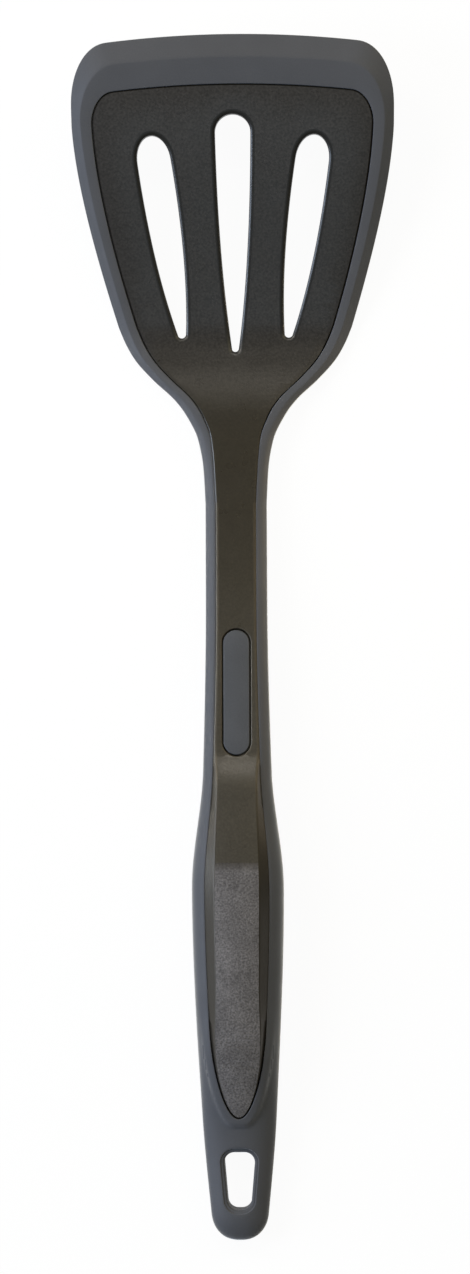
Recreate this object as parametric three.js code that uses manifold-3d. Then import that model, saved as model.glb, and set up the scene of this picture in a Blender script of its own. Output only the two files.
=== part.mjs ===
// Slotted turner: a stiff nylon core, a soft silicone jacket moulded over its rim, back and grip,
// and a silicone inlay set in the face of the shaft.
// Millimetres, +Z up. It lies on its back with the working face up: X across the blade,
// +Y from the butt of the grip to the lip of the blade.
// A station is the distance along the turner from the butt; a height is measured from the underside.

import * as THREE from 'three';
import { mergeVertices } from 'three/addons/utils/BufferGeometryUtils.js';
import Module from 'manifold-3d';

const wasm = await Module();
wasm.setup();

// Lengths from butt to lip
const GRIP_LENGTH = 133;
const SHAFT_LENGTH = 76;
const NECK_LENGTH = 50;
const BLADE_LENGTH = 81;

// Widths of the outline
const BUTT_WIDTH = 14.9;
const TAIL_WIDTH = 21.1;
const GRIP_WIDTH = 26;
const SHAFT_ROOT_WIDTH = 19.4;
const SHAFT_WIDTH = 17.4;
const SHOULDER_WIDTH = 66.2;
const BLADE_WIDTH = 90.9;

// Thicknesses and lift off the table
const BUTT_THICKNESS = 8.4;
const GRIP_THICKNESS = 16;
const SHAFT_THICKNESS = 6.9;
const BLADE_THICKNESS = 3.2;
const BUTT_LIFT = 1.6;
const SHAFT_LIFT = 0.9;
const BLADE_TILT = THREE.MathUtils.degToRad(14);
const HEEL_BEND = 10;
const HEEL_BEFORE_SHOULDER = 3;

// Outline details
const BUTT_NOSE = 8;
const BUTT_ROUND = 5;
const GRIP_FLARE = 33;
const BLADE_FLARE_SHARE = 0.753;
const BLADE_FLARE_POWER = 1.53;
const LIP_RADIUS = 310;
const LIP_CORNER_REACH = 16.6;
const LIP_CORNER_INSET = 10.3;
const CORNER_POWER = 2.2;

// Silicone left showing round the nylon face
const GRIP_BAND = 3.6;
const SHAFT_BAND = 3;
const RIM_BAND = 5.3;
const RIM_FRONT_BAND = 6.2;
const LIP_BAND = 14;
const PANEL_CORNER_REACH = 9;
const PANEL_CORNER_INSET = 6.2;

// Bevels of the rim and lip
const LIP_BEVEL = 6.8;
const LIP_EDGE = 0.9;
const RIM_BEVEL = 2.7;
const RIM_BEVEL_DROP = 1.5;
const RIM_FOOT = 0.5;

// Raised spine of the grip
const SPINE_TIP_AT = 35.5;
const SPINE_TIP_LENGTH = 26;
const SPINE_RISE = 2.6;
const SPINE_STEP = 1.5;
const SPINE_FLANK = 2.9;
const SPINE_CREASE_AT = 107.6;
const RAMP_LENGTH = 12;
const COLLAR_WIDTH = 2.2;
const COLLAR_RISE = 0.6;
const COLLAR_LENGTH = 32;
const COLLAR_SLOPE = 1;
const COLLAR_ROOT = 3;

// How the two mouldings lock together
const FIT = 0.3;
const BACK_WALL = 2.6;
const COVER_WIDTH = 21.6;
const COVER_NOSE = 20;
const COVER_END = 247;
const TONGUE_SIDE = 2.4;
const TONGUE_FRONT = 6;
const TONGUE_THICKNESS = 1;
const TONGUE_START = 4;
const ANCHOR_RADIUS = 1.6;
const ANCHOR_PITCH = 21;
const ANCHOR_FROM_INLAY = 8;
const ANCHOR_OVERLAP = 2;
const RIVET_RADIUS = 1.5;
const RIVET_PITCH = 13;
const CUT_CLEAR = 1;
const FACE_CLEAR = 6;

// Slots in the blade
const SLOT_LENGTH = 60;
const SLOT_RADIUS = 5;
const SLOT_TIP_RADIUS = 1;
const SLOT_BELLY = 4.55;
const SLOT_FROM_LIP = 27;
const SLOT_BELLY_SHARE = 0.57;
const SIDE_SLOT_LENGTH = 50.4;
const SIDE_SLOT_RADIUS = 4.6;
const SIDE_SLOT_TIP_RADIUS = 1.2;
const SIDE_SLOT_BELLY = 5.2;
const SIDE_SLOT_FROM_LIP = 32.7;
const SIDE_SLOT_OFFSET = 22.6;
const SIDE_SLOT_SPLAY = THREE.MathUtils.degToRad(8.4);

// Inlay in the shaft and hole in the butt
const INLAY_LENGTH = 36.1;
const INLAY_WIDTH = 8.7;
const INLAY_DEPTH = 1.6;
const INLAY_FROM_GRIP = 4.4;
const HOLE_FROM_BUTT = 9.8;
const HOLE_LENGTH = 15.8;
const HOLE_WIDTH = 8.4;
const HOLE_BUTT_WIDTH = 6;
const HOLE_CORNER = 2.5;
const HOLE_CHAMFER = 0.9;

// Stations where one part of the outline meets the next
const shaftStart = GRIP_LENGTH;
const neckStart = shaftStart + SHAFT_LENGTH;
const shoulder = neckStart + NECK_LENGTH;
const lip = shoulder + BLADE_LENGTH;
const bulge = shaftStart - GRIP_FLARE;
const heel = shoulder - HEEL_BEFORE_SHOULDER;
const panelFront = lip - LIP_BAND;
const lipCrease = lip - LIP_BEVEL;

const { cos, sin, sqrt, min, max, PI } = Math;

/** Smooth curve through [station, value] knots that never overshoots them. */
function profile(knots) {
  const last = knots.length - 1;
  const secant = (i) => (knots[i + 1][1] - knots[i][1]) / (knots[i + 1][0] - knots[i][0]);
  const tangent = knots.map((_, i) => {
    if (i === 0) return secant(0);
    if (i === last) return secant(last - 1);
    const before = secant(i - 1);
    const after = secant(i);
    return before * after <= 0 ? 0 : (2 * before * after) / (before + after);
  });
  return (s) => {
    if (s <= knots[0][0]) return knots[0][1];
    if (s >= knots[last][0]) return knots[last][1];
    const i = knots.findIndex((_, k) => s < knots[k + 1][0]);
    const span = knots[i + 1][0] - knots[i][0];
    const t = (s - knots[i][0]) / span;
    const u = 1 - t;
    return knots[i][1] * u * u * (1 + 2 * t) + knots[i + 1][1] * t * t * (1 + 2 * u)
      + span * t * u * (tangent[i] * u - tangent[i + 1] * t);
  };
}

/** A value that holds one level on the butt, the grip, the shaft and the blade and blends between. */
const levels = (butt, grip, shaft, blade) => profile([
  [0, butt], [SPINE_TIP_AT * 0.66, butt], [GRIP_LENGTH * 0.48, grip], [bulge, grip],
  [shaftStart + SHAFT_LENGTH * 0.42, shaft], [neckStart, shaft], [shoulder, blade], [lip, blade],
]);

/** Elliptical end: rises from a small flat to 1 over the given length. */
function nose(distance, length) {
  const d = max(distance, 0) + 0.012 * length;
  return d >= length ? 1 : sqrt(1 - ((length - d) / length) ** 2);
}

/** Rounded corner: how far the outline comes in near a front edge. */
function corner(s, front, reach, inset) {
  const u = min(max((s - front + reach) / reach, 0), 0.9995);
  return inset * (1 - (1 - u ** CORNER_POWER) ** (1 / CORNER_POWER));
}

// Outline of the neck as [share of the neck length, share of the flare]
const flare = profile([[0, 0], [0.2, 0.023], [0.36, 0.081], [0.5, 0.218], [0.588, 0.353], [0.702, 0.602],
  [0.816, 0.81], [0.91, 0.922], [1, 1]]);

const handleEdge = profile([
  [0, BUTT_WIDTH / 2], [SPINE_TIP_AT, TAIL_WIDTH / 2], [bulge, GRIP_WIDTH / 2],
  [shaftStart, SHAFT_ROOT_WIDTH / 2], [shaftStart + SHAFT_LENGTH * 0.63, SHAFT_WIDTH / 2],
  [neckStart, SHAFT_WIDTH / 2],
]);

/** Half-width of the outline before its two ends are rounded. */
function edgeLine(s) {
  if (s <= neckStart) return handleEdge(s);
  if (s <= shoulder) {
    return SHAFT_WIDTH / 2 + (SHOULDER_WIDTH - SHAFT_WIDTH) / 2 * flare((s - neckStart) / NECK_LENGTH);
  }
  const t = min((s - shoulder) / (BLADE_LENGTH * BLADE_FLARE_SHARE), 1);
  return SHOULDER_WIDTH / 2 + (BLADE_WIDTH - SHOULDER_WIDTH) / 2 * (1 - (1 - t) ** BLADE_FLARE_POWER);
}

/** Half-width of the outline. */
const edge = (s) => edgeLine(s) * nose(s, BUTT_NOSE)
  - corner(s, lip, LIP_CORNER_REACH, LIP_CORNER_INSET);

const band = profile([
  [0, GRIP_BAND], [bulge, GRIP_BAND], [shaftStart, SHAFT_BAND],
  [neckStart + NECK_LENGTH * 0.16, SHAFT_BAND], [neckStart + NECK_LENGTH * 0.7, RIM_BAND],
  [shoulder, RIM_BAND], [lip, RIM_FRONT_BAND],
]);

/** Half-width of the nylon face, grown sideways and at its two ends. */
function panel(s, side = 0, end = side) {
  const tip = nose(s - SPINE_TIP_AT + end, SPINE_TIP_LENGTH);
  return (edgeLine(s) - band(s)) * tip + side
    - corner(s, panelFront + end, PANEL_CORNER_REACH, PANEL_CORNER_INSET);
}

// Side view: underside, thickness, and the spine's height above the silicone
const handleLift = profile([
  [0, BUTT_LIFT], [SPINE_TIP_AT * 1.4, 0], [bulge, 0], [shaftStart, SHAFT_LIFT * 0.36],
  [shaftStart + SHAFT_LENGTH * 0.5, SHAFT_LIFT * 0.89], [neckStart, SHAFT_LIFT],
  [neckStart + NECK_LENGTH * 0.5, SHAFT_LIFT * 0.75], [heel, 0],
]);

/** Height of the underside above the table. */
function underside(s) {
  if (s <= heel) return handleLift(s);
  const run = s - heel;
  const bend = run < HEEL_BEND ? run * run / (2 * HEEL_BEND) : run - HEEL_BEND / 2;
  return bend * Math.tan(BLADE_TILT);
}

const thickness = profile([
  [0, BUTT_THICKNESS * 0.93], [BUTT_NOSE * 1.5, BUTT_THICKNESS],
  [SPINE_TIP_AT * 0.775, BUTT_THICKNESS * 1.14],
  [SPINE_TIP_AT + SPINE_TIP_LENGTH, GRIP_THICKNESS * 0.95], [bulge, GRIP_THICKNESS],
  [shaftStart, SHAFT_THICKNESS * 1.9], [shaftStart + SHAFT_LENGTH * 0.45, SHAFT_THICKNESS * 1.43],
  [neckStart, SHAFT_THICKNESS], [neckStart + NECK_LENGTH * 0.42, SHAFT_THICKNESS * 0.93],
  [heel - HEEL_BEND * 0.8, BLADE_THICKNESS * 1.24], [heel + HEEL_BEND, BLADE_THICKNESS],
  [lip, BLADE_THICKNESS],
]);
const gripRise = profile([
  [SPINE_TIP_AT, SPINE_RISE * 0.2], [SPINE_TIP_AT + SPINE_TIP_LENGTH * 0.54, SPINE_RISE * 0.6],
  [bulge - GRIP_FLARE * 0.36, SPINE_RISE], [SPINE_CREASE_AT, SPINE_STEP],
]);
const rampRise = profile([
  [SPINE_CREASE_AT, SPINE_STEP], [shaftStart - RAMP_LENGTH / 2, SPINE_STEP],
  [shaftStart + RAMP_LENGTH / 2, 0],
]);
const spineRise = (s) => (s < SPINE_CREASE_AT ? gripRise(s) : rampRise(s));
const flank = profile([
  [SPINE_TIP_AT, SPINE_FLANK * 0.1], [SPINE_TIP_AT + SPINE_TIP_LENGTH * 0.38, SPINE_FLANK * 0.17],
  [bulge - GRIP_FLARE * 0.76, SPINE_FLANK * 0.9], [bulge, SPINE_FLANK],
  [shaftStart - RAMP_LENGTH / 2, SPINE_FLANK * 0.41],
  [shaftStart + RAMP_LENGTH * 0.67, SPINE_FLANK * 0.05],
]);
const collarRise = profile([
  [SPINE_TIP_AT, COLLAR_RISE], [SPINE_TIP_AT + COLLAR_LENGTH * 0.5, COLLAR_RISE],
  [SPINE_TIP_AT + COLLAR_LENGTH, COLLAR_RISE * 0.03],
]);

// Rounding of the cross-section: width and drop of the upper shoulder, width and rise of the belly.
// The shoulder is a round on the handle, power 1, and a flat bevel on the blade, power 2.
const shoulderWidth = levels(
  BUTT_THICKNESS * 0.48, GRIP_THICKNESS * 0.2, SHAFT_THICKNESS * 0.3, RIM_BEVEL,
);
const shoulderDrop = levels(
  BUTT_THICKNESS * 0.43, GRIP_THICKNESS * 0.41, SHAFT_THICKNESS * 0.41, RIM_BEVEL_DROP,
);
const shoulderPower = levels(1, 1, 1, 2);
const bellyWidth = levels(BUTT_WIDTH * 0.29, GRIP_WIDTH * 0.35, SHAFT_WIDTH * 0.29, RIM_FOOT);
const bellyRise = levels(
  BUTT_THICKNESS * 0.45, GRIP_THICKNESS * 0.51, SHAFT_THICKNESS * 0.48, RIM_FOOT * 0.8,
);
const coreChamfer = levels(BACK_WALL * 0.77, BACK_WALL * 2.23, BACK_WALL * 1.12, FIT / 3);

/** How far a point of the blade lies behind its station, so that the lip is arched. */
function bow(x, s) {
  const t = min(max((s - shoulder) / (panelFront - shoulder), 0), 1);
  return t * t * (3 - 2 * t) * x * x / (2 * LIP_RADIUS);
}

/** Point of the turner at a half-width, height and station. */
function place(x, height, s) {
  const y = s - bow(x, s);
  return new THREE.Vector3(x, y, underside(y) + height);
}

/** Numbers from one end to the other, the first included. */
const spread = (from, to, count) => Array.from(
  { length: count }, (_, i) => from + (to - from) * i / count,
);

/** Numbers that crowd towards the start. */
const crowd = (from, to, count) => spread(0, 1, count)
  .map((t) => from + (to - from) * (1 - cos(t * PI / 2)));

/** Numbers that crowd towards the end, the end included. */
const crowdEnd = (from, to, count) => crowd(to, from, count).reverse();

/** Triangle mesh from points and corner indices. */
function mesh(points, triangles) {
  const geometry = new THREE.BufferGeometry();
  const places = points.flatMap((p) => [p.x, p.y, p.z]);
  geometry.setAttribute('position', new THREE.Float32BufferAttribute(places, 3));
  geometry.setIndex(triangles);
  return geometry;
}

/** Symmetric solid through sections, each with equal upper and lower [x, height] lists, centre to edge. */
function loft(stations, section) {
  const points = [];
  const triangles = [];
  let count = 0;
  for (const s of stations) {
    const { upper, lower } = section(s);
    const right = [...upper, ...lower.slice().reverse()];
    const left = [...lower.slice(1), ...upper.slice(1).reverse()].map(([x, h]) => [-x, h]);
    const ring = [...right, ...left];
    count = ring.length;
    ring.forEach(([x, h]) => points.push(place(x, h, s)));
  }
  const quad = (a, b, c, d) => triangles.push(a, b, c, a, c, d);
  for (let row = 0; row + 1 < stations.length; row += 1) {
    for (let k = 0; k < count; k += 1) {
      const next = (k + 1) % count;
      quad(row * count + k, row * count + next, (row + 1) * count + next, (row + 1) * count + k);
    }
  }
  // End faces run in strips between the upper and the lower edge
  const half = (count + 2) / 4;
  const top = (k) => (k + count) % count;
  const low = (k) => 2 * half - 1 - k;
  const end = (stations.length - 1) * count;
  for (let k = 1 - half; k < half - 1; k += 1) {
    quad(top(k), low(k), low(k + 1), top(k + 1));
    quad(end + top(k), end + top(k + 1), end + low(k + 1), end + low(k));
  }
  return solid(mesh(points, triangles));
}

/** Closed prism between stacked rings of equal length. */
function stack(rings) {
  const count = rings[0].length;
  const triangles = [];
  for (let row = 0; row + 1 < rings.length; row += 1) {
    for (let k = 0; k < count; k += 1) {
      const a = row * count + k;
      const b = row * count + (k + 1) % count;
      triangles.push(a, b, b + count, a, b + count, a + count);
    }
  }
  const cap = THREE.ShapeUtils.triangulateShape(rings[0].map((p) => new THREE.Vector2(p.x, p.y)), []);
  const end = (rings.length - 1) * count;
  cap.forEach(([a, b, c]) => triangles.push(a, c, b, end + a, end + b, end + c));
  return solid(mesh(rings.flat(), triangles));
}

/** Solid body from a closed mesh. */
function solid(geometry) {
  const bare = geometry.clone();
  bare.deleteAttribute('normal');
  bare.deleteAttribute('uv');
  const welded = mergeVertices(bare, 1e-4);
  return new wasm.Manifold(new wasm.Mesh({
    numProp: 3,
    vertProperties: new Float32Array(welded.attributes.position.array),
    triVerts: new Uint32Array(welded.index.array),
  }));
}

/** Mesh geometry of a solid body. */
function geometryOf(body) {
  const { vertProperties, triVerts } = body.getMesh();
  const geometry = new THREE.BufferGeometry();
  geometry.setAttribute('position', new THREE.BufferAttribute(new Float32Array(vertProperties), 3));
  geometry.setIndex(new THREE.BufferAttribute(new Uint32Array(triVerts), 1));
  geometry.computeVertexNormals();
  return geometry;
}

const join = (bodies) => bodies.reduce((whole, body) => whole.add(body));
const cut = (body, tools) => tools.reduce((left, tool) => left.subtract(tool), body);

/** Outer skin of the whole turner. */
function skinSection(s) {
  const w = edge(s);
  const round = nose(s, BUTT_ROUND);
  const drop = BLADE_THICKNESS - LIP_EDGE;
  const front = s > lipCrease ? drop * (s - lipCrease) / LIP_BEVEL : 0;
  const full = thickness(s);
  const top = full / 2 * (1 + round) - front;
  const base = full / 2 * (1 - round);
  const fit = min(1, 0.94 * (top - base) / (shoulderDrop(s) + bellyRise(s)));
  const mitre = max(1 - front / RIM_BEVEL_DROP, 0.03);
  const power = shoulderPower(s);
  const outer = min(shoulderWidth(s), w * 0.9) * mitre;
  const fall = shoulderDrop(s) * fit * round * mitre;
  const inner = min(bellyWidth(s), w * 0.9);
  const rise = bellyRise(s) * fit * round;
  const flat = [0, 0.25, 0.5, 0.75];
  const arc = [0, 0.2, 0.4, 0.6, 0.8, 1].map((t) => t * PI / 2);
  return {
    upper: [
      ...flat.map((t) => [(w - outer) * t, top]),
      ...arc.map((a) => [w - outer + outer * sin(a) ** power, top - fall * (1 - cos(a) ** power)]),
    ],
    lower: [
      ...flat.map((t) => [(w - inner) * t, base]),
      ...arc.map((a) => [w - inner + inner * sin(a), base + rise * (1 - cos(a))]),
    ],
  };
}

/** Nylon core with its full depth, before it is relieved for the silicone back. */
function coreSection(s) {
  const w = panel(s);
  const top = thickness(s);
  const slope = min(flank(s), w * 0.6);
  const chamfer = min(coreChamfer(s), w * 0.8);
  const flat = [0, 0.34, 0.67, 1];
  return {
    upper: [
      ...flat.map((t) => [(w - slope) * t, top + spineRise(s)]), [w, top - FIT / 3], [w, top * 0.53],
    ],
    lower: [...flat.map((t) => [(w - chamfer) * t, 0]), [w, chamfer], [w, top * 0.5]],
  };
}

/** Room for the core in the jacket, open at the face. */
function roomSection(s) {
  const w = panel(s, FIT);
  const chamfer = max(min(coreChamfer(s), panel(s) * 0.8) - FIT * Math.tan(PI / 8), 0);
  const flat = [0, 0.34, 0.67, 1];
  const foot = max(w - chamfer - CUT_CLEAR, w * 0.15);
  return {
    upper: [...flat.map((t) => [w * t, thickness(s) + FACE_CLEAR]), [w, thickness(s) * 0.53]],
    lower: [...flat.map((t) => [foot * t, -CUT_CLEAR]), [w, chamfer]],
  };
}

/** Thin tongue round the blade panel, or the groove for it when grown. */
function tongueSection(grow) {
  return (s) => {
    const w = panel(s, TONGUE_SIDE + grow, TONGUE_FRONT + grow);
    const middle = BLADE_THICKNESS / 2;
    const half = TONGUE_THICKNESS / 2 + grow;
    const flat = [0, 0.25, 0.5, 0.75, 1];
    return {
      upper: flat.map((t) => [w * t, middle + half]),
      lower: flat.map((t) => [w * t, middle - half]),
    };
  };
}

/** Silicone that closes the back of the handle, ending in a rounded point on the neck. */
function coverSection(shrink) {
  return (s) => {
    const w = COVER_WIDTH / 2 * nose(COVER_END - shrink - s, COVER_NOSE) - shrink;
    return {
      upper: [[0, BACK_WALL - shrink], [w, BACK_WALL - shrink]],
      lower: [[0, -FACE_CLEAR], [w, -FACE_CLEAR]],
    };
  };
}

/** Raised collar of silicone round the tip of the spine. */
function collarSection(s) {
  const w = panel(s, COLLAR_WIDTH);
  const face = thickness(s);
  const top = face + collarRise(s);
  const root = face - COLLAR_ROOT;
  const slope = min(COLLAR_SLOPE, w * 0.4);
  return {
    upper: [[0, top], [w - slope, top], [w, face - COLLAR_SLOPE * 0.4]],
    lower: [[0, root], [w - slope, root], [w, root + COLLAR_SLOPE]],
  };
}

/** Tapered slot with a round top and a fine round tip, cut straight through. */
function slot(length, radius, belly, tipRadius, top, offset, splay) {
  const shape = new THREE.Shape();
  shape.absarc(0, 0, radius, 0, PI, false);
  shape.quadraticCurveTo(-belly, -length * SLOT_BELLY_SHARE, -tipRadius, -length);
  shape.absarc(0, -length, tipRadius, PI, 2 * PI, false);
  shape.quadraticCurveTo(belly, -length * SLOT_BELLY_SHARE, radius, 0);
  const depth = underside(lip) + 2 * BLADE_THICKNESS;
  const geometry = new THREE.ExtrudeGeometry(shape, { depth, bevelEnabled: false, curveSegments: 9 });
  geometry.rotateZ(-splay);
  geometry.translate(offset, top, -BLADE_THICKNESS);
  return solid(geometry);
}

/** Round bar along an axis turned from Y. */
function bar(radius, length, position, turn) {
  const geometry = new THREE.CylinderGeometry(radius, radius, length, 14);
  geometry.applyQuaternion(new THREE.Quaternion().setFromEuler(turn));
  geometry.translate(position.x, position.y, position.z);
  return solid(geometry);
}

/** Bars of silicone that cross the core under the face of the grip and shaft. */
function crossBars(radius) {
  const first = SPINE_TIP_AT + SPINE_TIP_LENGTH;
  const inlayEnd = shaftStart + INLAY_FROM_GRIP + INLAY_LENGTH;
  const next = inlayEnd + ANCHOR_FROM_INLAY;
  const stations = [...[0, 1, 2].map((k) => first + k * ANCHOR_PITCH), next, next + ANCHOR_PITCH];
  return stations.map((s) => bar(radius, 2 * (panel(s) + ANCHOR_OVERLAP),
    place(0, (BACK_WALL + thickness(s)) / 2, s), new THREE.Euler(0, 0, PI / 2)));
}

/** Rivets of silicone through the tongue under the lip. */
function rivets(radius) {
  const turn = new THREE.Euler(PI / 2 + BLADE_TILT, 0, 0);
  return [-2, -1, 0, 1, 2].map((k) => bar(radius, BLADE_THICKNESS * 1.2,
    place(k * RIVET_PITCH, BLADE_THICKNESS / 2, panelFront + TONGUE_FRONT / 2), turn));
}

/** Round-ended block for the inlay, or the pocket for it when grown. */
function inlayBody(grow, lift) {
  const start = shaftStart + INLAY_FROM_GRIP - grow;
  const finish = start + INLAY_LENGTH + 2 * grow;
  const radius = INLAY_WIDTH / 2 + grow;
  const stations = [...crowd(start, start + radius, 8), ...spread(start + radius, finish - radius, 8),
    ...crowdEnd(finish - radius, finish, 8)];
  return loft(stations, (s) => {
    const w = radius * nose(min(s - start, finish - s), radius);
    const top = thickness(s) + spineRise(s);
    return {
      upper: [[0, top + lift], [w, top + lift]],
      lower: [[0, top - INLAY_DEPTH - grow], [w, top - INLAY_DEPTH - grow]],
    };
  });
}

/** Outline of the hanging hole, grown evenly, as plan points. */
function holeOutline(grow) {
  const near = HOLE_FROM_BUTT;
  const far = HOLE_FROM_BUTT + HOLE_LENGTH;
  const corners = [
    [HOLE_BUTT_WIDTH / 2, near], [HOLE_WIDTH / 2, far],
    [-HOLE_WIDTH / 2, far], [-HOLE_BUTT_WIDTH / 2, near],
  ].map(([x, y]) => new THREE.Vector2(x, y));
  return corners.flatMap((point, i) => {
    const into = point.clone().sub(corners[(i + 3) % 4]).normalize();
    const out = corners[(i + 1) % 4].clone().sub(point).normalize();
    const first = new THREE.Vector2(into.y, -into.x);
    const second = new THREE.Vector2(out.y, -out.x);
    const share = HOLE_CORNER / (1 + first.dot(second));
    const centre = point.clone().addScaledVector(first, -share).addScaledVector(second, -share);
    const turn = second.angle() - first.angle();
    const sweep = turn < 0 ? turn + 2 * PI : turn;
    return [0, 1, 2, 3, 4, 5].map((k) => {
      const angle = first.angle() + sweep * k / 5;
      const way = new THREE.Vector2(cos(angle), sin(angle));
      return centre.clone().addScaledVector(way, HOLE_CORNER + grow);
    });
  });
}

/** Hanging hole through the butt with a chamfer at both faces. */
function hangingHole() {
  const ring = (grow, height) => holeOutline(grow).map((p) => new THREE.Vector3(p.x, p.y, height(p.y)));
  const low = (y) => underside(y);
  const high = (y) => underside(y) + thickness(y);
  return stack([
    ring(HOLE_CHAMFER + CUT_CLEAR, (y) => low(y) - CUT_CLEAR),
    ring(0, (y) => low(y) + HOLE_CHAMFER),
    ring(0, (y) => high(y) - HOLE_CHAMFER),
    ring(HOLE_CHAMFER + CUT_CLEAR, (y) => high(y) + CUT_CLEAR),
  ]);
}

// Stations at which the sections are taken, closer where the form turns
const tipFull = SPINE_TIP_AT + SPINE_TIP_LENGTH * 0.77;
const rampEnd = shaftStart + RAMP_LENGTH * 0.67;
const tongueTurn = panelFront - TONGUE_FRONT;
const handleStations = [...spread(tipFull, SPINE_CREASE_AT, 8), ...spread(SPINE_CREASE_AT, rampEnd, 6),
  ...spread(rampEnd, neckStart, 6), ...spread(neckStart, shoulder, 18)];
const faceStations = (grow) => [...crowd(SPINE_TIP_AT - grow, tipFull, 10), ...handleStations,
  ...spread(shoulder, panelFront - PANEL_CORNER_REACH, 8),
  ...crowdEnd(panelFront - PANEL_CORNER_REACH, panelFront + grow, 7)];
const tongueStations = (grow) => [...spread(shoulder + TONGUE_START - grow, tongueTurn, 7),
  ...crowdEnd(tongueTurn, panelFront + TONGUE_FRONT + grow, 8)];
const coverStations = (shrink) => [...spread(SPINE_TIP_AT - FACE_CLEAR, COVER_END - COVER_NOSE, 12),
  ...crowdEnd(COVER_END - COVER_NOSE, COVER_END - shrink, 8)];
const skinStations = [...crowd(0, BUTT_NOSE, 6), ...spread(BUTT_NOSE, SPINE_TIP_AT, 5),
  ...spread(SPINE_TIP_AT, rampEnd, 18), ...spread(rampEnd, neckStart, 7),
  ...spread(neckStart, shoulder, 18), ...spread(shoulder, lip - LIP_CORNER_REACH, 8),
  ...spread(lip - LIP_CORNER_REACH, lipCrease, 4), ...crowdEnd(lipCrease, lip, 6)];
const collarStations = [...crowd(SPINE_TIP_AT - COLLAR_WIDTH, SPINE_TIP_AT + COLLAR_LENGTH * 0.375, 9),
  ...crowdEnd(SPINE_TIP_AT + COLLAR_LENGTH * 0.375, SPINE_TIP_AT + COLLAR_LENGTH, 7)];

// Nylon core
const slots = [
  slot(SLOT_LENGTH, SLOT_RADIUS, SLOT_BELLY, SLOT_TIP_RADIUS, lip - SLOT_FROM_LIP, 0, 0),
  ...[-1, 1].map((side) => slot(SIDE_SLOT_LENGTH, SIDE_SLOT_RADIUS, SIDE_SLOT_BELLY, SIDE_SLOT_TIP_RADIUS,
    lip - SIDE_SLOT_FROM_LIP, side * SIDE_SLOT_OFFSET, side * SIDE_SLOT_SPLAY)),
];
const coreBlank = join([loft(faceStations(0), coreSection), loft(tongueStations(0), tongueSection(0))]);
const core = cut(coreBlank, [
  loft(coverStations(0), coverSection(0)), ...slots, inlayBody(0, 2 * INLAY_DEPTH),
  ...crossBars(ANCHOR_RADIUS), ...rivets(RIVET_RADIUS),
]);

// Silicone jacket
const roomBlank = join([
  loft(faceStations(FIT), roomSection), loft(tongueStations(FIT), tongueSection(FIT)),
]);
const room = cut(roomBlank, [
  loft(coverStations(FIT), coverSection(FIT)),
  ...crossBars(ANCHOR_RADIUS - FIT), ...rivets(RIVET_RADIUS - FIT),
]);
const skin = join([loft(skinStations, skinSection), loft(collarStations, collarSection)]);
const jacket = cut(skin, [room, hangingHole()]);

// Assembly
const nylon = new THREE.MeshStandardMaterial({ color: 0x2b2a28, roughness: 0.55, metalness: 0 });
const silicone = new THREE.MeshStandardMaterial({ color: 0x4c4f53, roughness: 0.62, metalness: 0 });
const softGrey = new THREE.MeshStandardMaterial({ color: 0x55585b, roughness: 0.65, metalness: 0 });

const turner = new THREE.Group();
turner.name = 'slotted_turner';
const pieces = [
  ['nylon_core', core, nylon],
  ['silicone_jacket', jacket, silicone],
  ['shaft_inlay', inlayBody(-FIT, 0), softGrey],
];
for (const [name, body, material] of pieces) {
  const geometry = geometryOf(body);
  geometry.translate(0, -lip / 2, 0);
  const node = new THREE.Mesh(geometry, material);
  node.name = name;
  turner.add(node);
}

export default turner;
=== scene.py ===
"""Slotted turner: nylon core, silicone jacket and shaft inlay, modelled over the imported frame.

Sizes are millimetres unless a class says otherwise. The turner lies on its back with the working
face up. A station is the distance from the butt along the turner, and a height is measured from the
underside.
"""

import logging
import math
from dataclasses import dataclass, field, replace
from enum import Enum, IntEnum
from functools import cached_property
from typing import Callable, Sequence

import bmesh
import bpy
import numpy as np
from mathutils import Matrix, Vector


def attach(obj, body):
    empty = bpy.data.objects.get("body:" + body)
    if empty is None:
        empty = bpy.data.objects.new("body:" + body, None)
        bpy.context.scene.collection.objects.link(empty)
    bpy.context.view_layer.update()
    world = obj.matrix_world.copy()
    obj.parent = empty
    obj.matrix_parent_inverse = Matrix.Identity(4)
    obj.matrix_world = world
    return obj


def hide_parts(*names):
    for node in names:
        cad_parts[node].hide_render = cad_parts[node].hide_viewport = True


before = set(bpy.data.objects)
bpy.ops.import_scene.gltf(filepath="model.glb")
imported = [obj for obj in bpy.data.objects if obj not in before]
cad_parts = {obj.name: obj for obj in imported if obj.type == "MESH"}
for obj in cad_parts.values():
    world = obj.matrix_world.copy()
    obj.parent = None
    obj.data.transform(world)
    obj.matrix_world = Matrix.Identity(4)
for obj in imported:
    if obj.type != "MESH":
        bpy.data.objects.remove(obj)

MM = 0.001
PHOTO_WIDTH = 470
PHOTO_HEIGHT = 1274
QUARTER_TURN = math.pi / 2
WELD_DISTANCE = 0.001 * MM
LEAST_SLOPE = 1e-6
CUT_TOLERANCE = 0.02
TIP_POINTS = 33
ARC_POINTS = 25
CORNER_POINTS = 17
LIP_CORNER_POINTS = 21
FRONT_POINTS = 15
LIP_POINTS = 17

Curve = Callable[[np.ndarray], np.ndarray]
Surface = Callable[[np.ndarray, np.ndarray], np.ndarray]
Colour = tuple[float, float, float]
Cut = tuple[Vector, Vector, float]

log = logging.getLogger("turner")


class Face(Enum):
    """Faces filled between the loops that carry their name, and the sleeves of the slots."""

    TOP = "top"
    BACK = "back"
    BED = "bed"
    POCKET = "pocket"
    SLOT = "slot"


class Slot(Enum):
    """Material slots of the record."""

    NYLON = "nylon"
    SILICONE = "silicone"
    INLAY = "inlay"


class CoreLook(IntEnum):
    """Material indices of the nylon core, in the order in which it takes its finishes and its painted shade.
    """

    SATIN = 0
    GRAIN = 1
    FLANK = 2
    WALL = 3
    RIM = 4


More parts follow.
